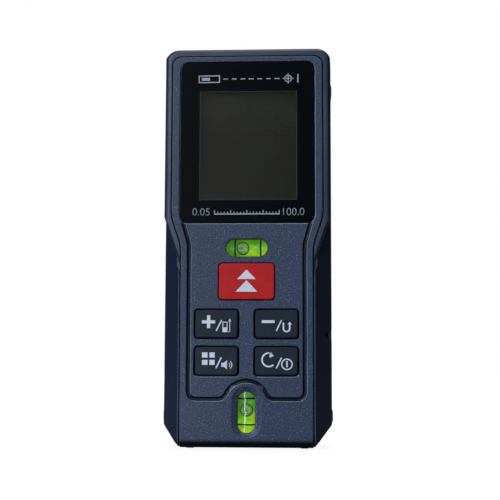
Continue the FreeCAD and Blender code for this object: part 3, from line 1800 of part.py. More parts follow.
def coil(name, x, bottom, height):
    """A coil spring between two levels, its wire drawn as a bar with WIRE_SIDES sides."""
    wire = d.spring_wire.value
    radius = d.spring_radius.value
    length = height - 2 * wire
    helix = Part.makeHelix(length / d.spring_turns.value, length, radius)
    corners = []
    for number in range(WIRE_SIDES + 1):
        angle = 2 * math.pi * number / WIRE_SIDES
        corners.append(FreeCAD.Vector(radius + wire * math.cos(angle), 0, wire * math.sin(angle)))
    profile = Part.makePolygon(corners)
    item = DOC.addObject("Part::Feature", name)
    item.Shape = Part.Wire(helix.Edges).makePipeShell([profile], True, True)
    place(item, (x, d.cell_depth, bottom + d.spring_wire))
    return item


def battery_springs():
    """The two springs, one under each cell's flat end."""
    room = d.bay_top - d.bay_bottom - d.contact_thickness * 2
    height = (room - d.cell_length).value
    tail = coil("tail_spring", -d.cell_spacing / 2, d.bay_bottom + d.contact_thickness, height)
    head_bottom = d.bay_bottom + d.contact_thickness + d.cell_length
    head = coil("head_spring", d.cell_spacing / 2, head_bottom, height)
    return node("battery_springs", fuse("battery_springs", [tail, head]))


def battery_cover():
    """The cover: a plate with a rounded hinge edge, two pins, a grip and a catch."""
    barrel = d.cover_thickness / 2
    middle = BACK - barrel
    half = d.cover_half_width
    low = d.cover_hinge_height
    plate = cover_shape("cover_plate", half, low, d.cover_top, BACK, COVER_FRONT)
    edge = cylinder("cover_edge", (-half, middle, low), half * 2, barrel, "X")
    reach = half + d.hinge_pin_length
    pins = cylinder("cover_pins", (-reach, middle, low), reach * 2, d.hinge_pin_radius, "X")
    catch = box(
        "cover_catch",
        (-d.catch_width / 2, COVER_FRONT, d.cover_top - d.overshoot),
        (d.catch_width / 2, COVER_FRONT + d.catch_thickness, d.cover_top + d.catch_reach),
    )
    solid = fuse("cover_solid", [plate, edge, pins, catch])
    grip = rounded_block(
        "cover_grip", (-d.grip_width / 2, d.grip_width / 2), (d.grip_bottom, d.grip_top),
        (BACK + d.overshoot, BACK - d.grip_depth), d.grip_corner,
    )
    scooped = cut("cover_scooped", solid, [grip])
    ribs = []
    centre = (d.grip_bottom + d.grip_top) / 2
    for number in range(GRIP_RIBS):
        step = number - (GRIP_RIBS - 1) / 2
        z = centre + d.grip_rib_pitch * step - d.grip_rib_width / 2
        bottom = BACK - d.grip_depth - d.grip_rib_height
        ribs.append(box(
            "grip_rib", (-d.grip_rib_length / 2, bottom, z),
            (d.grip_rib_length / 2, bottom + d.grip_rib_height * 2, z + d.grip_rib_width),
        ))
    return node("battery_cover", fuse("battery_cover", [scooped] + ribs))


# ---------------------------------------------------------------- small outside pieces

def back_label():
    """A blank label in its recess on the back."""
    rear = BACK - d.label_recess + d.label_thickness
    label = rounded_block(
        "back_label", (-d.label_width / 2, d.label_width / 2), (d.label_bottom, d.label_top),
        (rear, BACK - d.label_recess), d.label_corner,
    )
    return node("back_label", label)


def lanyard_bar():
    """The steel bar across the wrist strap's notch."""
    return node("lanyard_bar", lanyard_rod("lanyard_bar"))


# ---------------------------------------------------------------- build and write

def build():
    """Make every sub-part."""
    front_housing()
    rear_housing()
    housing_gasket()
    housing_screws()
    display_window()
    window_adhesive()
    lcd_glass()
    lcd_frame()
    lcd_ribbon()
    keys()
    keypad_mat()
    contact_domes()
    vials()
    main_pcb()
    microcontroller()
    buzzer()
    capacitors()
    pcb_screws()
    optical_frame()
    laser_barrel()
    laser_diode()
    lenses()
    light_detector()
    sensor_pcb()
    sensor_screws()
    sensor_ribbon()
    optics_bezel()
    optics_screws()
    battery_cells()
    battery_contacts()
    battery_springs()
    battery_cover()
    back_label()
    lanyard_bar()


def check_objects():
    """Stop if any object failed or any sub-part has no sound shape."""
    for item in DOC.Objects:
        if "Invalid" in item.State or "Error" in item.State:
            raise RuntimeError(f"{item.Label} did not compute: {item.State}")
    for item in NODES:
        if item.Shape.isNull() or not item.Shape.isValid() or not item.Shape.Solids:
            raise RuntimeError(f"{item.Label} has no sound solid")


def write_parts():
    """Write each sub-part's shape to its own file."""
    os.makedirs("parts", exist_ok=True)
    for item in NODES:
        item.Shape.exportStep(f"parts/{item.Label}.step")


build()
DOC.recompute()
check_objects()
write_parts()
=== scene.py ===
import json
import math

import bmesh
import bpy
from mathutils import Matrix, Vector


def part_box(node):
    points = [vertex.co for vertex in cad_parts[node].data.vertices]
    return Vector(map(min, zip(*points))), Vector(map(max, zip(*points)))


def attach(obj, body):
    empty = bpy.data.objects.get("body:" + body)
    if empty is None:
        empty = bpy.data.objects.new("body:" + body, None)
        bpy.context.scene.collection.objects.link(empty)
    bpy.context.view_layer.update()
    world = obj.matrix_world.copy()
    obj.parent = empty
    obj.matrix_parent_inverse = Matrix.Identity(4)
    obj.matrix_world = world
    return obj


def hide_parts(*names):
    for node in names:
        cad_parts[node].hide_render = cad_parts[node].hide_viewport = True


# The looks of a hand-held laser distance meter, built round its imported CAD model.
# Everything is in metres in the CAD frame: +X is the user's right, +Y runs from the
# keypad side to the battery side, and +Z is the laser's direction.

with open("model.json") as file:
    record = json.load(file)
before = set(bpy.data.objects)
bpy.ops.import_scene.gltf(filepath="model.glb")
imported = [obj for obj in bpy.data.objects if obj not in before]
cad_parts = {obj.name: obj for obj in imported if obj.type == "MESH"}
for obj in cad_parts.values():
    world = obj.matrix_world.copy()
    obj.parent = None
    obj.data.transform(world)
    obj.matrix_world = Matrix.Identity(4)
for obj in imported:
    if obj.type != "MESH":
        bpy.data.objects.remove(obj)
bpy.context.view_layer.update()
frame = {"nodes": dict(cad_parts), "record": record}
NODES = frame["nodes"]
MM = 0.001


# ---------------------------------------------------------------- colours

def linear(red, green, blue):
    """The scene-linear colour of a display colour given from 0 to 255."""
    channels = []
    for value in (red, green, blue):
        share = value / 255
        if share <= 0.04045:
            channels.append(share / 12.92)
        else:
            channels.append(((share + 0.055) / 1.055) ** 2.4)
    return (*channels, 1.0)


# The face's plastic, and the rear shell's
FACE_LIGHT = linear(82, 95, 121)
FACE_DARK = linear(31, 39, 59)
FACE_COOL = linear(46, 66, 90)
FACE_VIOLET = linear(52, 54, 92)
FACE_FLAKE = linear(146, 162, 190)
# Painted shade, for the face's groove, steep walls and its turn under the tail
FACE_SHADE_PAINT = linear(10, 15, 30)
# A painted highlight, for the face's edges that face up and to the left
FACE_HIGHLIGHT_PAINT = linear(176, 196, 222)
SHELL_LIGHT = linear(66, 76, 95)
SHELL_MID = linear(56, 65, 84)
# Painted shade, for the shell's sides
SHELL_SIDE_SHADE = linear(19, 33, 56)

# The keys' rubber
KEY_MID = linear(33, 42, 57)
KEY_DARK = linear(29, 37, 51)
KEY_RED = linear(194, 32, 36)
KEY_RED_DARK = linear(182, 26, 30)

# The keys' signs, and the cover glass's print
INK_PALE = linear(214, 224, 240)
INK_PALE_COOL = linear(205, 214, 236)
PRINT_GREY = linear(150, 166, 176)
PRINT_GREY_DARK = linear(138, 154, 166)
PRINT_BLACK = linear(4, 8, 15)

# The vials' liquid, bubbles and black rings
VIAL_GREEN = linear(96, 172, 40)
# Painted light and shade on the liquid: yellow where light gathers, deeper where it doesn't
VIAL_PAINTED_LIGHT = linear(160, 206, 36)
VIAL_PAINTED_SHADE = linear(80, 142, 50)
BUBBLE_MID = linear(84, 124, 74)
BUBBLE_LIGHT = linear(140, 172, 104)
# A painted dark ring, for the shade at the bubble's edge
BUBBLE_SHADE_RING = linear(30, 70, 40)
MARK_BLACK = linear(10, 14, 12)

# The display
LCD_MID = linear(42, 42, 35)
LCD_LIGHT = linear(50, 50, 42)
# Painted light, at the display's top
LCD_TOP_LIT = linear(66, 66, 57)


# ---------------------------------------------------------------- sizes, in mm

# How far the keys stand out of the face, and the dish round the upright vial, which the face's painted
# shade leaves out
KEY_PROUD = 0.6
DISH_HALF_WIDTH = 4.8
DISH_TOP = 18.4

# The area of the keys and the vial across, whose openings get no painted highlight on their edges
KEYS_HALF_WIDTH = 15.6
KEYS_BOTTOM = 21.5
KEYS_TOP = 63.5

# Depths behind the face between which a painted shade darkens its plastic, in the groove
SUNK_FROM = 0.08
SUNK_TO = 0.3

# Heights between which the painted shade on the face's turn under the tail fades out upwards
TAIL_SHADE_FULL = 1.9
TAIL_SHADE_GONE = 3.2

# Places along Y between which the painted shade on the shell's sides fades out towards the rear
REAR_DARK = -4.0
REAR_PALE = 0.0

# Edges that the shading rounds, which on the face also sets the width of its painted highlight, and how
# many flakes the face has to the millimetre
FACE_EDGE_RADIUS = 0.3
SHELL_EDGE_RADIUS = 0.16
FLAKES_PER_MM = 1.7

# The display's rectangle on the cover glass, and half the blur of the print's edge
VIEW_WIDTH = 28.75
VIEW_SHIFT = 0.33
VIEW_BOTTOM = 72.9
VIEW_TOP = 105.5
VIEW_HEIGHT = VIEW_TOP - VIEW_BOTTOM
VIEW_MIDDLE = (VIEW_TOP + VIEW_BOTTOM) / 2
PRINT_EDGE = 0.05

# Heights between which the display is painted lighter towards the top, as light falls on it
LCD_PALE_FROM = 90.0
LCD_PALE_TO = 108.0

# The line printed round the label, and the height where a cell's white band starts
LABEL_MARGIN = 1.6
LABEL_LINE = 0.14
CELL_BAND_FROM = 44.0

# Half the thickness of a layer of ink
INK_THICK = 0.02

# The ruler on the cover glass: its line, and its long and short marks
RULER_LOW = 68.45
RULER_LINE = 0.34
RULER_STEP = 4.78
RULER_MAJORS = 5
RULER_MINORS = 5
MAJOR_HALF_WIDTH = 0.13
MAJOR_HEIGHT = 1.3
MINOR_HALF_WIDTH = 0.11
MINOR_HEIGHT = 0.85

# The ruler's numbers: their foot, height and left edges, and how much the font is thinned
NUMBER_LOW = 68.2
NUMBER_HEIGHT = 2.15
LOW_NUMBER_LEFT = -16.1
HIGH_NUMBER_LEFT = 10.7
NUMBER_THIN = -0.012

# The row of signs above the display
SIGNS_HEIGHT = 109.4
BEAM_DASHES = 7
DASH_START = -7.2
DASH_STEP = 2.55
DASH_LONG = 1.45

# The vials' tubes. Their liquid stops short of both ends and runs a little into the wall,
# and its inner edge is closed up to a hair's breadth from the axis
TUBE_RADIUS = 2.8
BORE_RADIUS = 2.1
LIQUID_SHORT = 0.5
LIQUID_OVERLAP = 0.04
CORE_RADIUS = 0.001

# How many flat sides stand for a full turn
ROUND_STEPS = 48

# The two black rings round each tube: how far they stand off its middle, and their section
RING_OFFSET = 3.78
RING_WIDTH = 0.45
RING_GAP = 0.005
RING_PROUD = 0.03

# The bubble's outline: half its length and width, how many rings it is made of, how thick
# its rim is, how much it swells to the middle, and how deep its back lies in the liquid
BUBBLE_LONG = 1.98
BUBBLE_WIDE = 1.8
PATCH_LOOPS = 10
PATCH_RIM = 0.012
PATCH_SWELL = 0.03
PATCH_SUNK = 0.02

# A dark lip of painted shade round each vial's slot, where its wall lies in shadow: its width, and how
# far it runs past the tube's front
SLOT_SHADE_WIDTH = 0.26
SLOT_SHADE_PAST_FRONT = 0.35


# ---------------------------------------------------------------- light and camera

# How much painted light the vials' liquid glows with, though it is no lamp, and how strongly their tubes
# bend light
LIQUID_PAINTED_GLOW = 0.62
VIAL_IOR = 1.7

# The floor, a disc with a radius in metres: grey to light, near white to the camera, and
# fading to white with distance
FLOOR_RADIUS = 4.0
FLOOR_STEPS = 96
FLOOR_LIFT = 0.9
FLOOR_NEAR_MM = 150.0
FLOOR_FAR_MM = 900.0

# The world's strength to the camera, to the object, and on the pale panel ahead, and the
# edges of that panel along the directions X and Y
WORLD_SEEN = 1.0
WORLD_LIGHT = 0.03
PANEL_LIGHT = 0.2
PANEL_RIGHT = 0.06
PANEL_LEFT = -0.3
PANEL_AHEAD_FROM = -0.6
PANEL_AHEAD_TO = -0.9

# Each light's name, place and size (width, height) in metres, power in watts, and colour
WHITE = (1.0, 1.0, 1.0)
SOFTBOXES = (
    ("key", (-0.75, -1.0, 0.8), (0.4, 0.4), 9.0, WHITE),
    ("strip", (-0.45, -1.1, 0.22), (0.12, 1.0), 8.0, (0.8, 0.91, 1.0)),
    ("right_fill", (1.0, -0.6, 0.5), (0.4, 0.8), 0.5, (0.8, 0.9, 1.0)),
    ("top", (0.0, 0.1, 1.3), (0.8, 0.8), 9.0, WHITE),
    ("back_left", (-0.3, 1.2, 0.7), (0.5, 0.8), 11.0, WHITE),
    ("back_right", (0.85, 1.15, 0.45), (0.5, 0.8), 16.0, WHITE),
)
NOT_IN_GLOSS = ("back_left", "back_right")
LIGHTS_AIM = (0.0, 0.0, 0.06)

# A little panel low in front that only gloss sees, in metres: the line of light down the
# upright vial
GLINT_PLACE = (-0.0235, -0.0667, 0.009)
GLINT_AIM = (0.0, -0.01, 0.01)
GLINT_SIZE = (0.0085, 0.03)
GLINT_POWER = 0.0045
GLINT_COLOUR = (0.8, 0.94, 1.0)

# The camera: where it looks, how far off it stands, its turn, tilt and roll in degrees, its
# lens and film width in mm, and the nearest distance that it sees
CAMERA_AIM = Vector((0.31, 0.0, 59.25)) * MM
CAMERA_DISTANCE = 318.37 * MM
CAMERA_YAW = 2.99
CAMERA_PITCH = -6.0
CAMERA_ROLL = 0.19
CAMERA_LENS = 74.9
CAMERA_FILM = 36.0
CAMERA_NEAR = 0.01


# ---------------------------------------------------------------- material tools

class Graph:
    """Short ways to add and join the nodes of a material or a world."""

    def __init__(self, tree):
        self.tree = tree

    def add(self, kind):
        """A new node."""
        return self.tree.nodes.new(f"ShaderNode{kind}")

    def link(self, source, target):
        """Joins a socket, or sets a plain value."""
        if isinstance(source, bpy.types.NodeSocket):
            self.tree.links.new(source, target)
        else:
            target.default_value = source

    def math(self, operation, first, second=0.0, third=0.0):
        """One arithmetic step."""
        item = self.add("Math")
        item.operation = operation
        for socket, value in zip(item.inputs, (first, second, third)):
            self.link(value, socket)
        return item.outputs[0]

    def remap(self, source, low, high, new_low=0.0, new_high=1.0, smooth=False):
        """Stretches a value's range and clamps it."""
        item = self.add("MapRange")
        item.interpolation_type = "SMOOTHSTEP" if smooth else "LINEAR"
        self.link(source, item.inputs["Value"])
        self.link(low, item.inputs["From Min"])
        self.link(high, item.inputs["From Max"])
        self.link(new_low, item.inputs["To Min"])
        self.link(new_high, item.inputs["To Max"])
        return item.outputs["Result"]

    def blend(self, share, first, second):
        """A mix of two colours, whose sockets in the node are numbers 6 and 7 in and 2 out."""
        item = self.add("Mix")
        item.data_type = "RGBA"
        self.link(share, item.inputs["Factor"])
        self.link(first, item.inputs[6])
        self.link(second, item.inputs[7])
        return item.outputs[2]

    def parts(self, vector):
        """The x, y and z of a vector."""
        item = self.add("SeparateXYZ")
        self.link(vector, item.inputs[0])
        return item.outputs


class Surface(Graph):
    """A new material, with patterns that lie on the object. Lengths are in mm."""

    def __init__(self, name):
        self.material = bpy.data.materials.new(name)
        self.material.use_nodes = True
        super().__init__(self.material.node_tree)
        self.shader = self.tree.nodes["Principled BSDF"]
        place = self.add("TexCoord")
        scaled = self.add("VectorMath")
        scaled.operation = "SCALE"
        scaled.inputs["Scale"].default_value = 1 / MM
        self.link(place.outputs["Object"], scaled.inputs[0])
        self.place = scaled.outputs[0]
        self.facing = place.outputs["Normal"]
        self.bump_socket = None

    def set(self, **values):
        """Sets or joins the shader's sockets, named with underscores for spaces."""
        for name, value in values.items():
            self.link(value, self.shader.inputs[name.replace("_", " ")])

    def axes(self):
        """The x, y and z of the place on the object."""
        return self.parts(self.place)

    def steepness(self):
        """1 where the object faces along Y, down to 0 where it faces across it."""
        return self.math("ABSOLUTE", self.parts(self.facing)[1])

    def stretched(self, x, y, z):
        """The place on the object, stretched along each axis."""
        item = self.add("Mapping")
        item.inputs["Scale"].default_value = (x, y, z)
        self.link(self.place, item.inputs["Vector"])
        return item.outputs[0]

    def noise(self, per_mm, detail=2.0, roughness=0.5, place=None):
        """A cloudy pattern from 0 to 1, with this many blobs to the millimetre."""
        item = self.add("TexNoise")
        item.inputs["Scale"].default_value = per_mm
        item.inputs["Detail"].default_value = detail
        item.inputs["Roughness"].default_value = roughness
        self.link(place or self.place, item.inputs["Vector"])
        return item.outputs["Fac"]

    def cells(self, per_mm):
        """The distance to the nearest of a set of scattered points, and a random shade for each."""
        item = self.add("TexVoronoi")
        item.inputs["Scale"].default_value = per_mm
        self.link(self.place, item.inputs["Vector"])
        split = self.add("SeparateColor")
        self.link(item.outputs["Color"], split.inputs[0])
        return item.outputs["Distance"], split.outputs[0]

    def outside(self, centre_x, centre_z, width, height):
        """How far a place lies outside a rectangle across Y, less than 0 within it."""
        x, _, z = self.axes()
        across = self.math("ABSOLUTE", self.math("SUBTRACT", x, centre_x))
        up = self.math("ABSOLUTE", self.math("SUBTRACT", z, centre_z))
        return self.math(
            "MAXIMUM",
            self.math("SUBTRACT", across, width / 2),
            self.math("SUBTRACT", up, height / 2),
        )

    def soften_edges(self, radius_mm):
        """Rounds the shading of sharp edges, and returns where one leans up and to the left: the mask of
        the face's painted highlight.
        """
        bevel = self.add("Bevel")
        bevel.samples = 6
        bevel.inputs["Radius"].default_value = radius_mm * MM
        self.bump_socket = bevel.outputs["Normal"]
        self.link(self.bump_socket, self.shader.inputs["Normal"])
        shape = self.add("NewGeometry")
        turn = self.add("VectorMath")
        turn.operation = "DOT_PRODUCT"
        self.link(bevel.outputs["Normal"], turn.inputs[0])
        self.link(shape.outputs["Normal"], turn.inputs[1])
        near = self.remap(turn.outputs["Value"], 0.86, 0.995, 1.0, 0.0)
        x, _, z = self.parts(bevel.outputs["Normal"])
        upper_left = self.remap(self.math("SUBTRACT", z, x), 0.08, 0.4)
        return self.math("MULTIPLY", near, upper_left)

    def bump(self, height, depth_mm, strength=1.0):
        """Adds relief from a height pattern; calls add up."""
        item = self.add("Bump")
        item.inputs["Strength"].default_value = strength
        item.inputs["Distance"].default_value = depth_mm * MM
        self.link(height, item.inputs["Height"])
        if self.bump_socket:
            self.link(self.bump_socket, item.inputs["Normal"])
        self.bump_socket = item.outputs["Normal"]
        self.link(self.bump_socket, self.shader.inputs["Normal"])


def middle_of(node):
    """The centre of a CAD node's box."""
    low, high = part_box(node)
    return (low + high) / 2


def face_front():
    """Where the face's front lies along Y, in mm: a little behind the keys' tops."""
    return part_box("plus_key")[0].y / MM + KEY_PROUD


# ---------------------------------------------------------------- plastics and rubbers

def speckle(surface, grain):
    """The face's colour: slate blue with a fine light and dark speckle and a few pale flakes."""
    tint = surface.noise(1.1, 2.0, 0.6)
    base = surface.blend(surface.remap(grain, 0.4, 0.6), FACE_DARK, FACE_LIGHT)
    hues = surface.blend(surface.remap(tint, 0.4, 0.6), FACE_COOL, FACE_VIOLET)
    mixed = surface.blend(0.3, base, hues)
    distance, shade = surface.cells(FLAKES_PER_MM)
    flakes = surface.remap(distance, 0.16, 0.32, 1.0, 0.0)
    chosen = surface.remap(shade, 0.6, 0.9)
    sparkle = surface.math("MULTIPLY", flakes, chosen)
    return surface.blend(surface.math("MULTIPLY", sparkle, 0.5), mixed, FACE_FLAKE)


def groove_and_wall_shade(surface):
    """Where the face gets painted shade: in the groove or on a steep wall, outside the upright vial's
    dish.
    """
    x, y, z = surface.axes()
    depth = surface.math("SUBTRACT", y, face_front())
    sunk = surface.remap(depth, SUNK_FROM, SUNK_TO, smooth=True)
    wall = surface.remap(surface.steepness(), 0.45, 0.8, 1.0, 0.0, smooth=True)
    beside = surface.math("GREATER_THAN", surface.math("ABSOLUTE", x), DISH_HALF_WIDTH)
    above = surface.math("GREATER_THAN", z, DISH_TOP)
    off_dish = surface.math("MAXIMUM", beside, above)
    return surface.math("MULTIPLY", surface.math("MAXIMUM", sunk, wall), off_dish)


def off_keys(surface):
    """1 outside the area of the keys and the vial across, and 0 within it."""
    x, _, z = surface.axes()
    off = surface.math("GREATER_THAN", surface.math("ABSOLUTE", x), KEYS_HALF_WIDTH)
    for limit, test in ((KEYS_BOTTOM, "LESS_THAN"), (KEYS_TOP, "GREATER_THAN")):
        off = surface.math("MAXIMUM", off, surface.math(test, z, limit))
    return off


def speckled_plastic():
    """The face: speckled, with painted shade in its groove, on steep walls and under its tail, and a
    painted highlight on edges that face up and to the left.
    """
    surface = Surface("face_plastic")
    painted_highlight = surface.soften_edges(FACE_EDGE_RADIUS)
    grain = surface.noise(2.6, 3.0, 0.75)
    # Painted shade: the groove, steep walls and the turn under the tail darken the face's colour
    tail = surface.remap(surface.axes()[2], TAIL_SHADE_FULL, TAIL_SHADE_GONE, 1.0, 0.0, smooth=True)
    dark = surface.math("MAXIMUM", groove_and_wall_shade(surface), tail)
    # Painted highlight: edges facing up and to the left, outside the keys' area, are painted pale as if
    # lit
    edge = surface.math("MULTIPLY", painted_highlight, off_keys(surface))
    shaded = surface.blend(dark, speckle(surface, grain), FACE_SHADE_PAINT)
    satin = surface.remap(grain, 0.3, 0.7, 0.5, 0.36)
    surface.set(
        Base_Color=surface.blend(edge, shaded, FACE_HIGHLIGHT_PAINT),
        Roughness=surface.math("SUBTRACT", satin, surface.math("MULTIPLY", edge, 0.26)),
        Specular_IOR_Level=surface.math("MULTIPLY_ADD", edge, 0.6, 0.2),
    )
    surface.bump(surface.noise(3.2, 2.0, 0.6), 0.06, 0.4)
    return surface.material


def satin_plastic(name, light, middle, rough_low, rough_high):
    """A smooth moulded plastic with a faint cloudiness and a very fine grain."""
    surface = Surface(name)
    cloud = surface.noise(0.06, 2.0)
    fine = surface.noise(5.0, 2.0, 0.6)
    base = surface.blend(surface.remap(cloud, 0.35, 0.65), middle, light)
    grain = surface.remap(fine, 0.3, 0.7, 0.0, 0.14)
    surface.set(
        Base_Color=surface.blend(grain, base, light),
        Roughness=surface.remap(surface.noise(0.5, 3.0), 0.3, 0.7, rough_low, rough_high),
    )
    surface.bump(fine, 0.012, 0.35)
    return surface.material


def shell_plastic():
    """The rear shell: its own colour where it faces front or back, with painted shade on the front of its
    sides.
    """
    surface = Surface("shell_plastic")
    cloud = surface.noise(0.06, 2.0)
    fine = surface.noise(4.0, 3.0, 0.6)
    edge = surface.soften_edges(SHELL_EDGE_RADIUS)
    # Painted shade: where the shell faces across Y its colour is darkened, less so towards the rear
    out_of_side_shade = surface.remap(surface.steepness(), 0.72, 0.97, smooth=True)
    rearward = surface.remap(surface.axes()[1], REAR_DARK, REAR_PALE, 0.0, 0.8, smooth=True)
    out_of_side_shade = surface.math("MAXIMUM", out_of_side_shade, rearward)
    front = surface.blend(surface.remap(cloud, 0.35, 0.65), SHELL_MID, SHELL_LIGHT)
    base = surface.blend(out_of_side_shade, SHELL_SIDE_SHADE, front)
    grain = surface.remap(fine, 0.35, 0.7, 0.0, 0.12)
    surface.set(
        Base_Color=surface.blend(grain, base, SHELL_LIGHT),
        Roughness=surface.remap(surface.noise(0.5, 3.0), 0.3, 0.7, 0.34, 0.42),
        Specular_IOR_Level=surface.math("MULTIPLY_ADD", edge, 0.2, 0.22),
    )
    surface.bump(fine, 0.012, 0.35)
    return surface.material


def silicone(name, middle, dark, rough):
    """Satin silicone rubber: a fine matt grain with faint dust and wear."""
    surface = Surface(name)
    fine = surface.noise(6.0, 3.0, 0.6)
    wear = surface.noise(0.22, 3.0, 0.6)
    surface.set(
        Base_Color=surface.blend(surface.remap(wear, 0.3, 0.7), middle, dark),
        Roughness=surface.remap(fine, 0.3, 0.7, rough - 0.06, rough + 0.08),
        Specular_IOR_Level=0.16,
    )
    surface.bump(fine, 0.02, 0.3)
    return surface.material


def printed_ink(name, light, dark, rough=0.55):
    """A screen-printed ink, a little uneven in cover."""
    surface = Surface(name)
    cover = surface.noise(2.5, 3.0)
    surface.set(
        Base_Color=surface.blend(surface.remap(cover, 0.3, 0.7), dark, light),
        Roughness=rough,
    )
    surface.bump(cover, 0.01, 0.2)
    return surface.material


def foam():
    """A black foam strip with open pores."""
    surface = Surface("seal_foam")
    pores, _ = surface.cells(4.0)
    surface.set(
        Base_Color=surface.blend(
            surface.remap(pores, 0.1, 0.5), linear(16, 16, 18), linear(40, 40, 42)
        ),
        Roughness=0.9,
    )
    surface.bump(pores, 0.08, 0.8)
    return surface.material


def white_tray():
    """The milky diffuser behind the display cell."""
    surface = Surface("white_plastic")
    cloud = surface.noise(0.3, 2.0)
    surface.set(
        Base_Color=surface.blend(cloud, linear(222, 222, 214), linear(236, 236, 230)),
        Roughness=0.45,
        Subsurface_Weight=0.1,
        Subsurface_Scale=1.0 * MM,
    )
    return surface.material


# ---------------------------------------------------------------- metals

def metal(name, light, dark, rough, grain_per_mm, brushed=True):
    """Plated metal; a brushed one has long fine scratches along Z."""
    surface = Surface(name)
    place = surface.stretched(1.0, 1.0, 0.06) if brushed else surface.place
    scratches = surface.noise(grain_per_mm, 4.0, 0.6, place)
    stain = surface.noise(0.35, 3.0)
    colour = surface.blend(surface.remap(stain, 0.3, 0.7), light, dark)
    surface.set(
        Base_Color=colour,
        Metallic=1.0,
        Roughness=surface.remap(scratches, 0.25, 0.75, rough - 0.08, rough + 0.1),
    )
    surface.bump(scratches, 0.01, 0.3)
    return surface.material


# ---------------------------------------------------------------- glass, display and optics

def cover_glass():
    """Cover glass, printed black behind all but the display's rectangle."""
    surface = Surface("window_glass")
    centre_x = middle_of("display_window").x / MM + VIEW_SHIFT
    beyond = surface.outside(centre_x, VIEW_MIDDLE, VIEW_WIDTH, VIEW_HEIGHT)
    clear = surface.remap(beyond, -PRINT_EDGE, PRINT_EDGE, 1.0, 0.0, smooth=True)
    smears = surface.noise(0.05, 4.0, 0.6)
    surface.set(
        Base_Color=surface.blend(clear, PRINT_BLACK, linear(235, 236, 228)),
        Transmission_Weight=clear,
        Roughness=surface.remap(smears, 0.35, 0.7, 0.03, 0.07),
        IOR=1.5,
    )
    return surface.material


def display_cell():
    """The display with nothing showing: an olive polariser with a faint weave, painted lighter towards
    its top as light falls on it.
    """
    surface = Surface("lcd")
    cloud = surface.noise(0.04, 2.0)
    weave = surface.noise(4.0, 1.0)
    height = surface.axes()[2]
    paler = surface.remap(height, LCD_PALE_FROM, LCD_PALE_TO, smooth=True)
    base = surface.blend(surface.remap(cloud, 0.3, 0.7), LCD_MID, LCD_LIGHT)
    base = surface.blend(paler, base, LCD_TOP_LIT)
    surface.set(
        Base_Color=surface.blend(surface.remap(weave, 0.3, 0.7, 0.0, 0.15), base, LCD_LIGHT),
        Roughness=0.3,
    )
    surface.bump(weave, 0.01, 0.2)
    return surface.material


def clear_solid(name, tint, rough_low, rough_high, ior):
    """A clear solid, with the faint haze of handling on its surface."""
    surface = Surface(name)
    haze = surface.noise(0.9, 3.0)
    surface.set(
        Base_Color=surface.blend(haze, tint, (1.0, 1.0, 1.0, 1.0)),
        Roughness=surface.remap(haze, 0.3, 0.7, rough_low, rough_high),
        Transmission_Weight=1.0,
        IOR=ior,
    )
    return surface.material


def vial_liquid(node):
    """The spirit, with painted light: it glows, and is painted yellow-green to the lower right where
    light gathers and deeper green where it doesn't, with random streaks.
    """
    middle = middle_of(node)
    surface = Surface(f"{node}_liquid")
    x, _, z = surface.axes()
    right = surface.math("SUBTRACT", x, middle.x / MM)
    down = surface.math("SUBTRACT", middle.z / MM, z)
    # Painted light: the liquid grows lighter to the lower right, mixed with random streaks
    light_slope = surface.math("ADD", surface.math("MULTIPLY", right, 0.5), down)
    streaks = surface.noise(0.45, 2.0)
    lean = surface.math("ADD", surface.math("MULTIPLY", light_slope, 0.09), streaks)
    first = surface.blend(surface.remap(lean, 0.2, 0.55, smooth=True), VIAL_PAINTED_SHADE, VIAL_GREEN)
    colour = surface.blend(surface.remap(lean, 0.5, 0.85, smooth=True), first, VIAL_PAINTED_LIGHT)
    surface.set(
        Base_Color=colour,
        Emission_Color=colour,
        Emission_Strength=LIQUID_PAINTED_GLOW,
        Roughness=0.25,
    )
    return surface.material


def bubble_skin(node, axis):
    """The bubble's edge, with painted light: it glows, has a painted dark ring where the liquid curls
    away and bends the light off, and is lighter in the middle.
    """
    middle = middle_of(node)
    surface = Surface(f"{node}_skin")
    x, _, z = surface.axes()
    along, across = (x, z) if axis == "X" else (z, x)
    along_middle, across_middle = (middle.x, middle.z) if axis == "X" else (middle.z, middle.x)
    u = surface.math("DIVIDE", surface.math("SUBTRACT", along, along_middle / MM), BUBBLE_LONG)
    v = surface.math("DIVIDE", surface.math("SUBTRACT", across, across_middle / MM), BUBBLE_WIDE)
    radius = surface.math(
        "SQRT",
        surface.math("ADD", surface.math("MULTIPLY", u, u), surface.math("MULTIPLY", v, v)),
    )
    cloud = surface.noise(1.1, 2.0)
    inside = surface.blend(surface.remap(cloud, 0.4, 0.65), BUBBLE_MID, BUBBLE_LIGHT)
    # Painted shade: a dark ring where the bubble's edge bends the light away
    ring_in = surface.remap(radius, 0.74, 0.88, smooth=True)
    ringed = surface.blend(ring_in, inside, BUBBLE_SHADE_RING)
    colour = surface.blend(surface.remap(radius, 0.93, 1.0, smooth=True), ringed, VIAL_GREEN)
    surface.set(
        Base_Color=colour,
        Emission_Color=colour,
        Emission_Strength=LIQUID_PAINTED_GLOW,
        Roughness=0.15,
    )
    return surface.material


# ---------------------------------------------------------------- boards and small parts

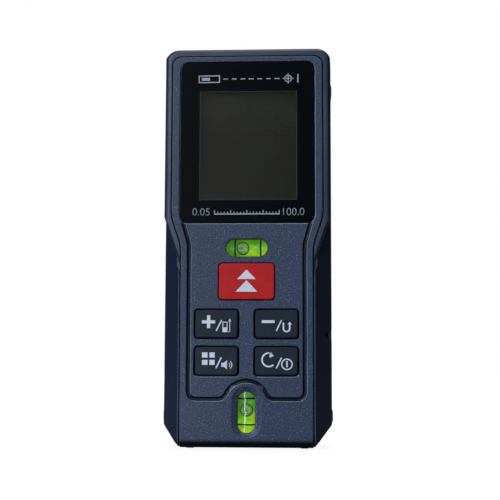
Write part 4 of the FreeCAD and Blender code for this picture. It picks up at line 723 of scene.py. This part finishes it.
def circuit_board():
    """Green solder mask over copper tracks that run along X and Z."""
    surface = Surface("circuit_board")
    x, _, z = surface.axes()
    lanes = surface.math("FRACT", surface.math("MULTIPLY", x, 0.9))
    rows = surface.math("FRACT", surface.math("MULTIPLY", z, 0.7))
    _, patches = surface.cells(0.16)
    chosen = surface.math("GREATER_THAN", patches, 0.5)
    upright = surface.math("LESS_THAN", lanes, 0.4)
    level = surface.math("LESS_THAN", rows, 0.35)
    tracks = surface.math(
        "ADD",
        surface.math("MULTIPLY", upright, chosen),
        surface.math("MULTIPLY", level, surface.math("SUBTRACT", 1.0, chosen)),
    )
    surface.set(
        Base_Color=surface.blend(tracks, linear(14, 74, 40), linear(34, 112, 62)),
        Roughness=0.35,
        Coat_Weight=0.3,
    )
    surface.bump(tracks, 0.03, 0.5)
    return surface.material


def label_film():
    """A blank silver-grey label with a printed border line."""
    surface = Surface("label_film")
    low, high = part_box("back_label")
    middle = middle_of("back_label")
    width = (high.x - low.x) / MM - 2 * LABEL_MARGIN
    height = (high.z - low.z) / MM - 2 * LABEL_MARGIN
    edge = surface.outside(middle.x / MM, middle.z / MM, width, height)
    line = surface.math("LESS_THAN", surface.math("ABSOLUTE", edge), LABEL_LINE)
    brushed = surface.noise(1.2, 3.0, 0.6, surface.stretched(0.05, 1.0, 1.0))
    base = surface.blend(surface.remap(brushed, 0.3, 0.7), linear(150, 154, 160), linear(172, 176, 182))
    surface.set(
        Base_Color=surface.blend(line, base, linear(52, 60, 76)),
        Metallic=0.35,
        Roughness=surface.remap(brushed, 0.3, 0.7, 0.34, 0.46),
    )
    surface.bump(brushed, 0.01, 0.2)
    return surface.material


def cell_jacket():
    """A battery's plain wrapper: dark grey, with a white band round its upper end."""
    surface = Surface("cell_jacket")
    _, _, z = surface.axes()
    band = surface.math("GREATER_THAN", z, CELL_BAND_FROM)
    fine = surface.noise(1.5, 2.0)
    surface.set(
        Base_Color=surface.blend(band, linear(66, 72, 76), linear(206, 208, 206)),
        Roughness=surface.remap(fine, 0.3, 0.7, 0.3, 0.4),
        Coat_Weight=0.4,
    )
    return surface.material


def flex_film():
    """Amber flat cable with its conductors showing as fine stripes."""
    surface = Surface("flex")
    x, _, _ = surface.axes()
    stripes = surface.math("LESS_THAN", surface.math("FRACT", surface.math("MULTIPLY", x, 1.25)), 0.5)
    surface.set(
        Base_Color=surface.blend(stripes, linear(150, 84, 20), linear(196, 132, 52)),
        Roughness=0.35,
    )
    surface.bump(stripes, 0.02, 0.4)
    return surface.material


def filter_glass():
    """The receiver's deep red filter."""
    surface = Surface("filter_glass")
    haze = surface.noise(0.7, 2.0)
    surface.set(
        Base_Color=surface.blend(haze, linear(120, 10, 16), linear(150, 18, 22)),
        Roughness=0.06,
        Coat_Weight=0.5,
    )
    return surface.material


def make_materials():
    """One material for each of the record's slots."""
    return {
        "face_plastic": speckled_plastic(),
        "shell_plastic": shell_plastic(),
        "seal_foam": foam(),
        "screw_steel": metal("screw_steel", linear(112, 115, 122), linear(84, 87, 94), 0.42, 3.0),
        "window_glass": cover_glass(),
        "adhesive": satin_plastic("adhesive", linear(24, 24, 26), linear(16, 16, 18), 0.6, 0.7),
        "lcd": display_cell(),
        "white_plastic": white_tray(),
        "flex": flex_film(),
        "red_rubber": silicone("red_rubber", KEY_RED, KEY_RED_DARK, 0.5),
        "key_rubber": silicone("key_rubber", KEY_MID, KEY_DARK, 0.48),
        "mat_rubber": silicone("mat_rubber", linear(40, 42, 46), linear(32, 34, 38), 0.6),
        "contact_metal": metal(
            "contact_metal", linear(206, 204, 196), linear(168, 164, 154), 0.28, 4.0
        ),
        "vial_acrylic": clear_solid("vial_acrylic", (0.93, 1.0, 0.86, 1.0), 0.042, 0.048, VIAL_IOR),
        "bubble": clear_solid("bubble", (0.9, 1.0, 0.85, 1.0), 0.0, 0.02, 1.2),
        "circuit_board": circuit_board(),
        "chip_plastic": satin_plastic("chip_plastic", linear(34, 34, 36), linear(24, 24, 26), 0.5, 0.6),
        "capacitor": satin_plastic("capacitor", linear(186, 158, 120), linear(164, 134, 98), 0.5, 0.6),
        "optics_plastic": satin_plastic(
            "optics_plastic", linear(26, 27, 30), linear(18, 19, 22), 0.42, 0.52
        ),
        "barrel_brass": metal("barrel_brass", linear(206, 172, 96), linear(178, 142, 70), 0.26, 5.0),
        "diode_metal": metal(
            "diode_metal", linear(216, 200, 150), linear(190, 170, 120), 0.25, 5.0, brushed=False
        ),
        "lens_glass": clear_solid("lens_glass", (0.84, 0.9, 1.0, 1.0), 0.0, 0.02, 1.52),
        "filter_glass": filter_glass(),
        "cell_jacket": cell_jacket(),
        "label_film": label_film(),
    }


def dress_cad_nodes(materials):
    """Gives every CAD node the material of its slot."""
    for row in frame["record"]["subparts"]:
        node = NODES[row["node"]]
        material = materials[row["material_slot"]]
        if not node.data.materials:
            node.data.materials.append(material)
        for index in range(len(node.data.materials)):
            node.data.materials[index] = material


# ---------------------------------------------------------------- mesh tools

def new_piece(name, bm, material, body):
    """Turns a bmesh into a finished piece that rides on a body."""
    bmesh.ops.remove_doubles(bm, verts=bm.verts, dist=1e-7)
    bmesh.ops.recalc_face_normals(bm, faces=bm.faces)
    mesh = bpy.data.meshes.new(name)
    bm.to_mesh(mesh)
    bm.free()
    mesh.materials.append(material)
    piece = bpy.data.objects.new(name, mesh)
    bpy.context.scene.collection.objects.link(piece)
    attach(piece, body)
    return piece


def join_rings(bm, first, second):
    """Adds the faces between two closed rings that have as many corners."""
    count = len(first)
    for index in range(count):
        after = (index + 1) % count
        bm.faces.new((first[index], first[after], second[after], second[index]))


class Print:
    """Flat ink shapes on a plane across Y, drawn in mm from a centre (x, z)."""

    def __init__(self, centre, front):
        self.bm = bmesh.new()
        self.centre = centre
        self.front = front
        self.thick = INK_THICK * MM

    def point(self, x, z, y):
        """A place on the object, from a place on the drawing in mm and a depth in metres."""
        return Vector((self.centre[0] + x * MM, y, self.centre[1] + z * MM))

    def shape(self, outline):
        """A solid slab with this outline, a list of (x, z)."""
        near = [self.bm.verts.new(self.point(x, z, self.front - self.thick)) for x, z in outline]
        far = [self.bm.verts.new(self.point(x, z, self.front + self.thick)) for x, z in outline]
        self.bm.faces.new(near)
        self.bm.faces.new(list(reversed(far)))
        for index in range(len(outline)):
            after = (index + 1) % len(outline)
            self.bm.faces.new((near[after], near[index], far[index], far[after]))

    def bar(self, x_low, x_high, z_low, z_high):
        """A rectangle."""
        self.shape([(x_low, z_low), (x_high, z_low), (x_high, z_high), (x_low, z_high)])

    def stroke(self, path, width):
        """A line of even width along a path, cut square at both ends."""
        left, right = [], []
        for index, (x, z) in enumerate(path):
            before = path[max(index - 1, 0)]
            after = path[min(index + 1, len(path) - 1)]
            run = Vector((after[0] - before[0], after[1] - before[1])).normalized()
            side = Vector((-run.y, run.x)) * width / 2
            left.append((x + side.x, z + side.y))
            right.append((x - side.x, z - side.y))
        for index in range(len(path) - 1):
            self.shape([left[index], right[index], right[index + 1], left[index + 1]])

    def arc(self, x, z, radius, start, end, width, steps):
        """Part of a ring, between two angles in degrees from +X."""
        path = []
        for step in range(steps + 1):
            angle = math.radians(start + (end - start) * step / steps)
            path.append((x + radius * math.cos(angle), z + radius * math.sin(angle)))
        self.stroke(path, width)

    def done(self, name, material, body, slot):
        """The finished drawing, as a piece."""
        return new_piece(name, self.bm, material, body)


# ---------------------------------------------------------------- key legends

def key_print(node):
    """A Print centred on a key's top."""
    low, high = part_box(node)
    return Print(((low.x + high.x) / 2, (low.z + high.z) / 2), low.y)


def slash(ink, x):
    """The slanted stroke between a key's two signs."""
    ink.stroke([(x - 0.76, -2.05), (x + 0.78, 1.07)], 0.38)


def measure_legend(ink):
    """Two stacked triangles that point along the beam."""
    ink.shape([(-2.68, 0.66), (2.68, 0.66), (0.0, 3.42)])
    ink.shape([(-3.18, -3.04), (3.18, -3.04), (0.0, 0.32)])


def plus_legend(ink):
    """A plus sign, and a meter with an arrow that shows which end it measures from."""
    ink.bar(-4.22, -0.34, 0.1, 1.02)
    ink.bar(-2.75, -1.79, -1.25, 0.1)
    ink.bar(-2.75, -1.79, 1.02, 2.5)
    slash(ink, 0.74)
    ink.bar(1.78, 3.25, -2.42, -1.0)
    ink.bar(1.78, 2.02, -1.0, 0.6)
    ink.bar(3.02, 3.25, -1.0, 0.6)
    ink.bar(2.02, 3.02, 0.36, 0.6)
    ink.stroke([(3.5, -2.3), (3.92, -2.3), (3.92, 0.7)], 0.2)
    ink.shape([(3.52, 0.65), (4.34, 0.65), (3.93, 1.6)])


def minus_legend(ink):
    """A minus sign, and a turned-back arrow for changing units."""
    ink.bar(-4.24, -0.5, 0.24, 1.08)
    slash(ink, 0.72)
    ink.bar(1.82, 2.26, -1.3, 0.34)
    ink.arc(2.95, -1.3, 0.91, 180, 360, 0.44, 20)
    ink.bar(3.64, 4.08, -1.3, -0.2)
    ink.shape([(3.24, -0.2), (4.48, -0.2), (3.86, 0.62)])


def mode_legend(ink):
    """Four squares for the functions, and a loudspeaker."""
    for x_low, x_high in ((-4.12, -2.5), (-1.96, -0.4)):
        for z_low, z_high in ((1.0, 2.5), (-1.1, 0.34)):
            ink.bar(x_low, x_high, z_low, z_high)
    slash(ink, 0.72)
    ink.bar(1.52, 2.2, -1.65, -0.5)
    ink.shape([(2.2, -1.65), (3.2, -2.4), (3.2, 0.25), (2.2, -0.5)])
    ink.arc(3.3, -1.07, 0.7, -50, 50, 0.22, 12)
    ink.arc(3.3, -1.07, 1.3, -55, 55, 0.26, 16)


def clear_legend(ink):
    """An open ring with an arrowhead for going back, and a power sign."""
    ink.arc(-2.2, 0.42, 1.95, 62, 312, 0.46, 40)
    ink.shape([(-2.1, 2.75), (-0.75, 1.6), (-1.95, 1.0)])
    slash(ink, 0.72)
    ink.arc(3.07, -0.86, 1.5, 0, 360, 0.36, 40)
    ink.bar(2.85, 3.28, -1.7, 0.1)


LEGENDS = {
    "measure_key": measure_legend,
    "plus_key": plus_legend,
    "minus_key": minus_legend,
    "mode_key": mode_legend,
    "clear_key": clear_legend,
}


def key_legends():
    """The pale signs on the keys."""
    ink_material = printed_ink("legend_ink", INK_PALE, INK_PALE_COOL)
    for node, draw in LEGENDS.items():
        ink = key_print(node)
        draw(ink)
        slot = "red_rubber" if node == "measure_key" else "key_rubber"
        ink.done(f"{node}_legend", ink_material, node, slot)


# ---------------------------------------------------------------- window print

def number_print(name, text, left, front, material):
    """One of the ruler's numbers in ink, set from its left edge, in mm."""
    curve = bpy.data.curves.new(f"{name}_outline", "FONT")
    curve.body = text
    curve.offset = NUMBER_THIN
    holder = bpy.data.objects.new(f"{name}_outline", curve)
    bpy.context.scene.collection.objects.link(holder)
    bpy.context.view_layer.update()
    flat = bpy.data.meshes.new_from_object(holder.evaluated_get(bpy.context.evaluated_depsgraph_get()))
    bpy.data.objects.remove(holder)
    low_x = min(vertex.co.x for vertex in flat.vertices)
    top = max(vertex.co.y for vertex in flat.vertices)
    scale = NUMBER_HEIGHT * MM / top
    bm = bmesh.new()
    bm.from_mesh(flat)
    for vertex in bm.verts:
        x = (vertex.co.x - low_x) * scale + left * MM
        z = vertex.co.y * scale + NUMBER_LOW * MM
        vertex.co = Vector((x, front + INK_THICK * MM, z))
    lifted = bmesh.ops.extrude_face_region(bm, geom=bm.faces[:])
    for item in lifted["geom"]:
        if isinstance(item, bmesh.types.BMVert):
            item.co.y -= 2 * INK_THICK * MM
    new_piece(name, bm, material, "housing")


def ruler_print(centre_x, front, material):
    """The ruler's line with its long and short marks."""
    ruler = Print((centre_x, 0.0), front)
    line_top = RULER_LOW + RULER_LINE
    half = RULER_STEP * (RULER_MAJORS - 1) / 2
    ruler.bar(-half - MAJOR_HALF_WIDTH, half + MAJOR_HALF_WIDTH, RULER_LOW, line_top)
    for major in range(RULER_MAJORS):
        x = -half + RULER_STEP * major
        ruler.bar(x - MAJOR_HALF_WIDTH, x + MAJOR_HALF_WIDTH, line_top, RULER_LOW + MAJOR_HEIGHT)
        if major < RULER_MAJORS - 1:
            for minor in range(1, RULER_MINORS):
                tick = x + RULER_STEP * minor / RULER_MINORS
                left, right = tick - MINOR_HALF_WIDTH, tick + MINOR_HALF_WIDTH
                ruler.bar(left, right, line_top, RULER_LOW + MINOR_HEIGHT)
    ruler.done("window_ruler", material, "housing", "window_glass")


def sign_print(centre_x, front, material):
    """A meter seen from the side, its beam as dashes, a target and the wall it reaches."""
    signs = Print((centre_x, SIGNS_HEIGHT * MM), front)
    signs.bar(-14.6, -8.2, -1.15, -0.85)
    signs.bar(-14.6, -8.2, 0.85, 1.15)
    signs.bar(-14.6, -14.3, -0.85, 0.85)
    signs.bar(-8.5, -8.2, -0.85, 0.85)
    signs.bar(-13.6, -11.2, -0.45, 0.45)
    for dash in range(BEAM_DASHES):
        start = DASH_START + DASH_STEP * dash
        signs.bar(start, start + DASH_LONG, -0.16, 0.16)
    signs.arc(12.2, 0.0, 1.0, 0, 360, 0.3, 32)
    signs.bar(10.6, 13.8, -0.15, 0.15)
    signs.bar(12.05, 12.35, -1.6, -0.15)
    signs.bar(12.05, 12.35, 0.15, 1.6)
    signs.bar(14.9, 15.3, -1.3, 1.3)
    signs.done("window_signs", material, "housing", "window_glass")


def window_print():
    """The ruler with its end numbers, and a row of signs in place of words."""
    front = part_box("display_window")[0].y
    centre_x = middle_of("display_window").x
    ink = printed_ink("window_ink", PRINT_GREY, PRINT_GREY_DARK, 0.4)
    ruler_print(centre_x, front, ink)
    number_print("window_low_number", "0.05", LOW_NUMBER_LEFT, front, ink)
    number_print("window_high_number", "100.0", HIGH_NUMBER_LEFT, front, ink)
    sign_print(centre_x, front, ink)


# ---------------------------------------------------------------- spirit vials

def vial_frame(node, axis):
    """A matrix whose Z runs along the vial, whose -Y faces the user, at the vial's middle."""
    middle = middle_of(node)
    turn = Matrix.Rotation(math.radians(90), 4, "Y") if axis == "X" else Matrix.Identity(4)
    return Matrix.Translation(middle) @ turn


def turned_solid(bm, profile, matrix):
    """Adds a solid of revolution round Z from a closed profile of (radius, z) in mm."""
    rings = []
    for step in range(ROUND_STEPS):
        angle = 2 * math.pi * step / ROUND_STEPS
        ring = []
        for radius, z in profile:
            ring.append(bm.verts.new(matrix @ Vector((
                radius * math.cos(angle) * MM, radius * math.sin(angle) * MM, z * MM,
            ))))
        rings.append(ring)
    for step in range(ROUND_STEPS):
        join_rings(bm, rings[step], rings[(step + 1) % ROUND_STEPS])


def smooth(piece):
    """Shades a piece smooth, apart from its sharp edges."""
    piece.data.shade_smooth()
    piece.data.set_sharp_from_angle(angle=math.radians(40))


def vial_pieces(tube, bubble, axis, ring_shift):
    """The liquid, the two black rings, and the bubble as it looks through the tube."""
    matrix = vial_frame(tube, axis)
    low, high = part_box(tube)
    length = (high.x - low.x) if axis == "X" else (high.z - low.z)
    reach = length / MM / 2 - LIQUID_SHORT
    wide = BORE_RADIUS + LIQUID_OVERLAP
    profile = [(CORE_RADIUS, -reach), (wide, -reach), (wide, reach), (CORE_RADIUS, reach)]
    liquid = bmesh.new()
    turned_solid(liquid, profile, matrix)
    smooth(new_piece(f"{tube}_liquid", liquid, vial_liquid(tube), "housing"))

    inner = TUBE_RADIUS + RING_GAP
    outer = TUBE_RADIUS + RING_PROUD
    rings = bmesh.new()
    for side in (-1, 1):
        start = ring_shift + side * RING_OFFSET - RING_WIDTH / 2
        end = start + RING_WIDTH
        turned_solid(rings, [(inner, start), (outer, start), (outer, end), (inner, end)], matrix)
    ink = printed_ink(f"{tube}_marks_ink", MARK_BLACK, MARK_BLACK, 0.25)
    smooth(new_piece(f"{tube}_marks", rings, ink, "housing"))

    bubble_patch(tube, bubble, axis)


def patch_ring(tube_middle, centre, axis, share, lift):
    """One ring of the bubble's outline, on its back (lift 0) or its front (lift 1)."""
    inner = BORE_RADIUS + LIQUID_OVERLAP
    thick = PATCH_RIM + PATCH_SWELL * (1 - share ** 4)
    radius = inner - PATCH_SUNK + (thick + PATCH_SUNK) * lift
    ring = []
    for spoke in range(ROUND_STEPS):
        angle = 2 * math.pi * spoke / ROUND_STEPS
        along = BUBBLE_LONG * share * math.cos(angle) * MM
        turn = math.asin(BUBBLE_WIDE * share * math.sin(angle) / inner)
        y = tube_middle.y - radius * math.cos(turn) * MM
        side = radius * math.sin(turn) * MM
        if axis == "X":
            ring.append(Vector((centre.x + along, y, tube_middle.z + side)))
        else:
            ring.append(Vector((tube_middle.x + side, y, centre.z + along)))
    return ring


def bubble_patch(tube, bubble, axis):
    """The bubble's outline where it presses on the tube: a thin lens on the liquid's front."""
    bm = bmesh.new()
    layers = []
    for lift in (0.0, 1.0):
        grid = []
        for loop in range(PATCH_LOOPS + 1):
            ring = patch_ring(middle_of(tube), middle_of(bubble), axis, loop / PATCH_LOOPS, lift)
            grid.append([bm.verts.new(spot) for spot in ring])
        layers.append(grid)
    for grid in layers:
        for inside, outside in zip(grid, grid[1:]):
            join_rings(bm, inside, outside)
    join_rings(bm, layers[1][-1], layers[0][-1])
    bmesh.ops.remove_doubles(bm, verts=bm.verts, dist=1e-8)
    bmesh.ops.dissolve_degenerate(bm, edges=bm.edges, dist=1e-9)
    piece = new_piece(f"{bubble}_outline", bm, bubble_skin(bubble, axis), bubble)
    smooth(piece)
    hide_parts(bubble)


def slot_loop(node, axis, half_long, half_wide, inset, depth):
    """One loop of places round a slot with round ends, at an inset and a depth in mm."""
    middle = middle_of(node)
    straight = half_long - half_wide
    radius = half_wide - inset
    loop = []
    for step in range(ROUND_STEPS):
        angle = 2 * math.pi * (step + 0.5) / ROUND_STEPS
        along = math.cos(angle) * radius + math.copysign(straight, math.cos(angle))
        across = math.sin(angle) * radius
        x, z = (along, across) if axis == "X" else (across, along)
        loop.append(Vector((middle.x + x * MM, depth * MM, middle.z + z * MM)))
    return loop


def slot_shade_lining(node, axis, half_long, half_wide, start):
    """A thin dark lip of painted shade round a vial's slot, where its wall lies in shadow, from a depth
    in mm behind the face.
    """
    near = face_front() + start
    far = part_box(node)[0].y / MM + SLOT_SHADE_PAST_FRONT
    bm = bmesh.new()
    rows = []
    for inset, depth in ((0.0, near), (SLOT_SHADE_WIDTH, near), (SLOT_SHADE_WIDTH, far), (0.0, far)):
        loop = slot_loop(node, axis, half_long, half_wide, inset, depth)
        rows.append([bm.verts.new(spot) for spot in loop])
    for number, row in enumerate(rows):
        join_rings(bm, row, rows[(number + 1) % len(rows)])
    # Painted shade: black ink lines the slot where its wall lies in shadow
    ink = printed_ink(f"{node}_shadow_ink", MARK_BLACK, MARK_BLACK, 0.5)
    new_piece(f"{node}_slot_shadow", bm, ink, "housing")


# ---------------------------------------------------------------- stage, light and camera

def stage_floor():
    """A wide pale disc under the feet, which fades into the white beyond."""
    bm = bmesh.new()
    bmesh.ops.create_circle(bm, cap_ends=True, segments=FLOOR_STEPS, radius=FLOOR_RADIUS)
    mesh = bpy.data.meshes.new("stage_floor")
    bm.to_mesh(mesh)
    bm.free()
    floor = bpy.data.objects.new("stage_floor", mesh)
    bpy.context.scene.collection.objects.link(floor)
    surface = Surface("stage_white")
    reach = surface.add("VectorMath")
    reach.operation = "LENGTH"
    surface.link(surface.place, reach.inputs[0])
    lift = surface.remap(
        reach.outputs["Value"], FLOOR_NEAR_MM, FLOOR_FAR_MM, FLOOR_LIFT, 1.0, smooth=True
    )
    rays = surface.add("LightPath")
    surface.set(
        Base_Color=surface.blend(surface.noise(0.002), linear(96, 97, 99), linear(102, 102, 103)),
        Roughness=0.9,
        Specular_IOR_Level=0.0,
        Emission_Color=(*WHITE, 1.0),
        Emission_Strength=surface.math("MULTIPLY", rays.outputs["Is Camera Ray"], lift),
    )
    mesh.materials.append(surface.material)


def studio_world():
    """White to the eye; to the object a dark room with a pale panel ahead on its left."""
    world = bpy.data.worlds.new("studio")
    bpy.context.scene.world = world
    world.use_nodes = True
    graph = Graph(world.node_tree)
    way = graph.add("TexCoord")
    x, y, _ = graph.parts(way.outputs["Generated"])
    panel = graph.remap(x, PANEL_RIGHT, PANEL_LEFT, WORLD_LIGHT, PANEL_LIGHT, smooth=True)
    room = graph.remap(y, PANEL_AHEAD_FROM, PANEL_AHEAD_TO, WORLD_LIGHT, panel, smooth=True)
    rays = graph.add("LightPath")
    strength = graph.remap(rays.outputs["Is Camera Ray"], 0.0, 1.0, room, WORLD_SEEN)
    shade = world.node_tree.nodes["Background"]
    shade.inputs["Color"].default_value = (*WHITE, 1.0)
    graph.link(strength, shade.inputs["Strength"])


def softbox(name, place, size, power, colour, target=LIGHTS_AIM):
    """A rectangular light of size (width, height), turned to face a point."""
    lamp = bpy.data.lights.new(name, "AREA")
    lamp.shape = "RECTANGLE"
    lamp.size, lamp.size_y = size
    lamp.energy = power
    lamp.color = colour
    item = bpy.data.objects.new(name, lamp)
    item.location = place
    way = Vector(target) - Vector(place)
    item.rotation_euler = way.to_track_quat("-Z", "Y").to_euler()
    bpy.context.scene.collection.objects.link(item)
    return item


def studio_lights():
    """A key high on the left, a tall strip on the left in front, fills all round, and the glint."""
    for name, place, size, power, colour in SOFTBOXES:
        light = softbox(name, place, size, power, colour)
        light.visible_glossy = name not in NOT_IN_GLOSS
    glint = softbox("glint", GLINT_PLACE, GLINT_SIZE, GLINT_POWER, GLINT_COLOUR, GLINT_AIM)
    glint.visible_camera = False
    glint.visible_diffuse = False


def studio_camera():
    """The camera, close in front and a little below the middle, looking slightly up."""
    lens = bpy.data.cameras.new("camera")
    lens.lens = CAMERA_LENS
    lens.sensor_width = CAMERA_FILM
    lens.clip_start = CAMERA_NEAR
    camera = bpy.data.objects.new("camera", lens)
    bpy.context.scene.collection.objects.link(camera)
    yaw = math.radians(CAMERA_YAW)
    pitch = math.radians(CAMERA_PITCH)
    level = math.cos(pitch)
    back = Vector((math.sin(yaw) * level, -math.cos(yaw) * level, math.sin(pitch)))
    camera.location = CAMERA_AIM + back * CAMERA_DISTANCE
    facing = (-back).to_track_quat("-Z", "Y").to_matrix().to_4x4()
    roll = Matrix.Rotation(math.radians(CAMERA_ROLL), 4, "Z")
    camera.matrix_world = Matrix.Translation(camera.location) @ facing @ roll
    bpy.context.scene.camera = camera


def main():
    """Builds the whole scene round the CAD model."""
    dress_cad_nodes(make_materials())
    key_legends()
    window_print()
    vial_pieces("horizontal_vial", "horizontal_bubble", "X", ring_shift=0.25)
    vial_pieces("vertical_vial", "vertical_bubble", "Z", ring_shift=0.22)
    slot_shade_lining("horizontal_vial", "X", half_long=6.36, half_wide=2.84, start=0.05)
    slot_shade_lining("vertical_vial", "Z", half_long=6.21, half_wide=2.76, start=1.0)
    stage_floor()
    studio_world()
    studio_lights()
    studio_camera()
    bpy.context.scene.view_settings.view_transform = "Standard"


main()
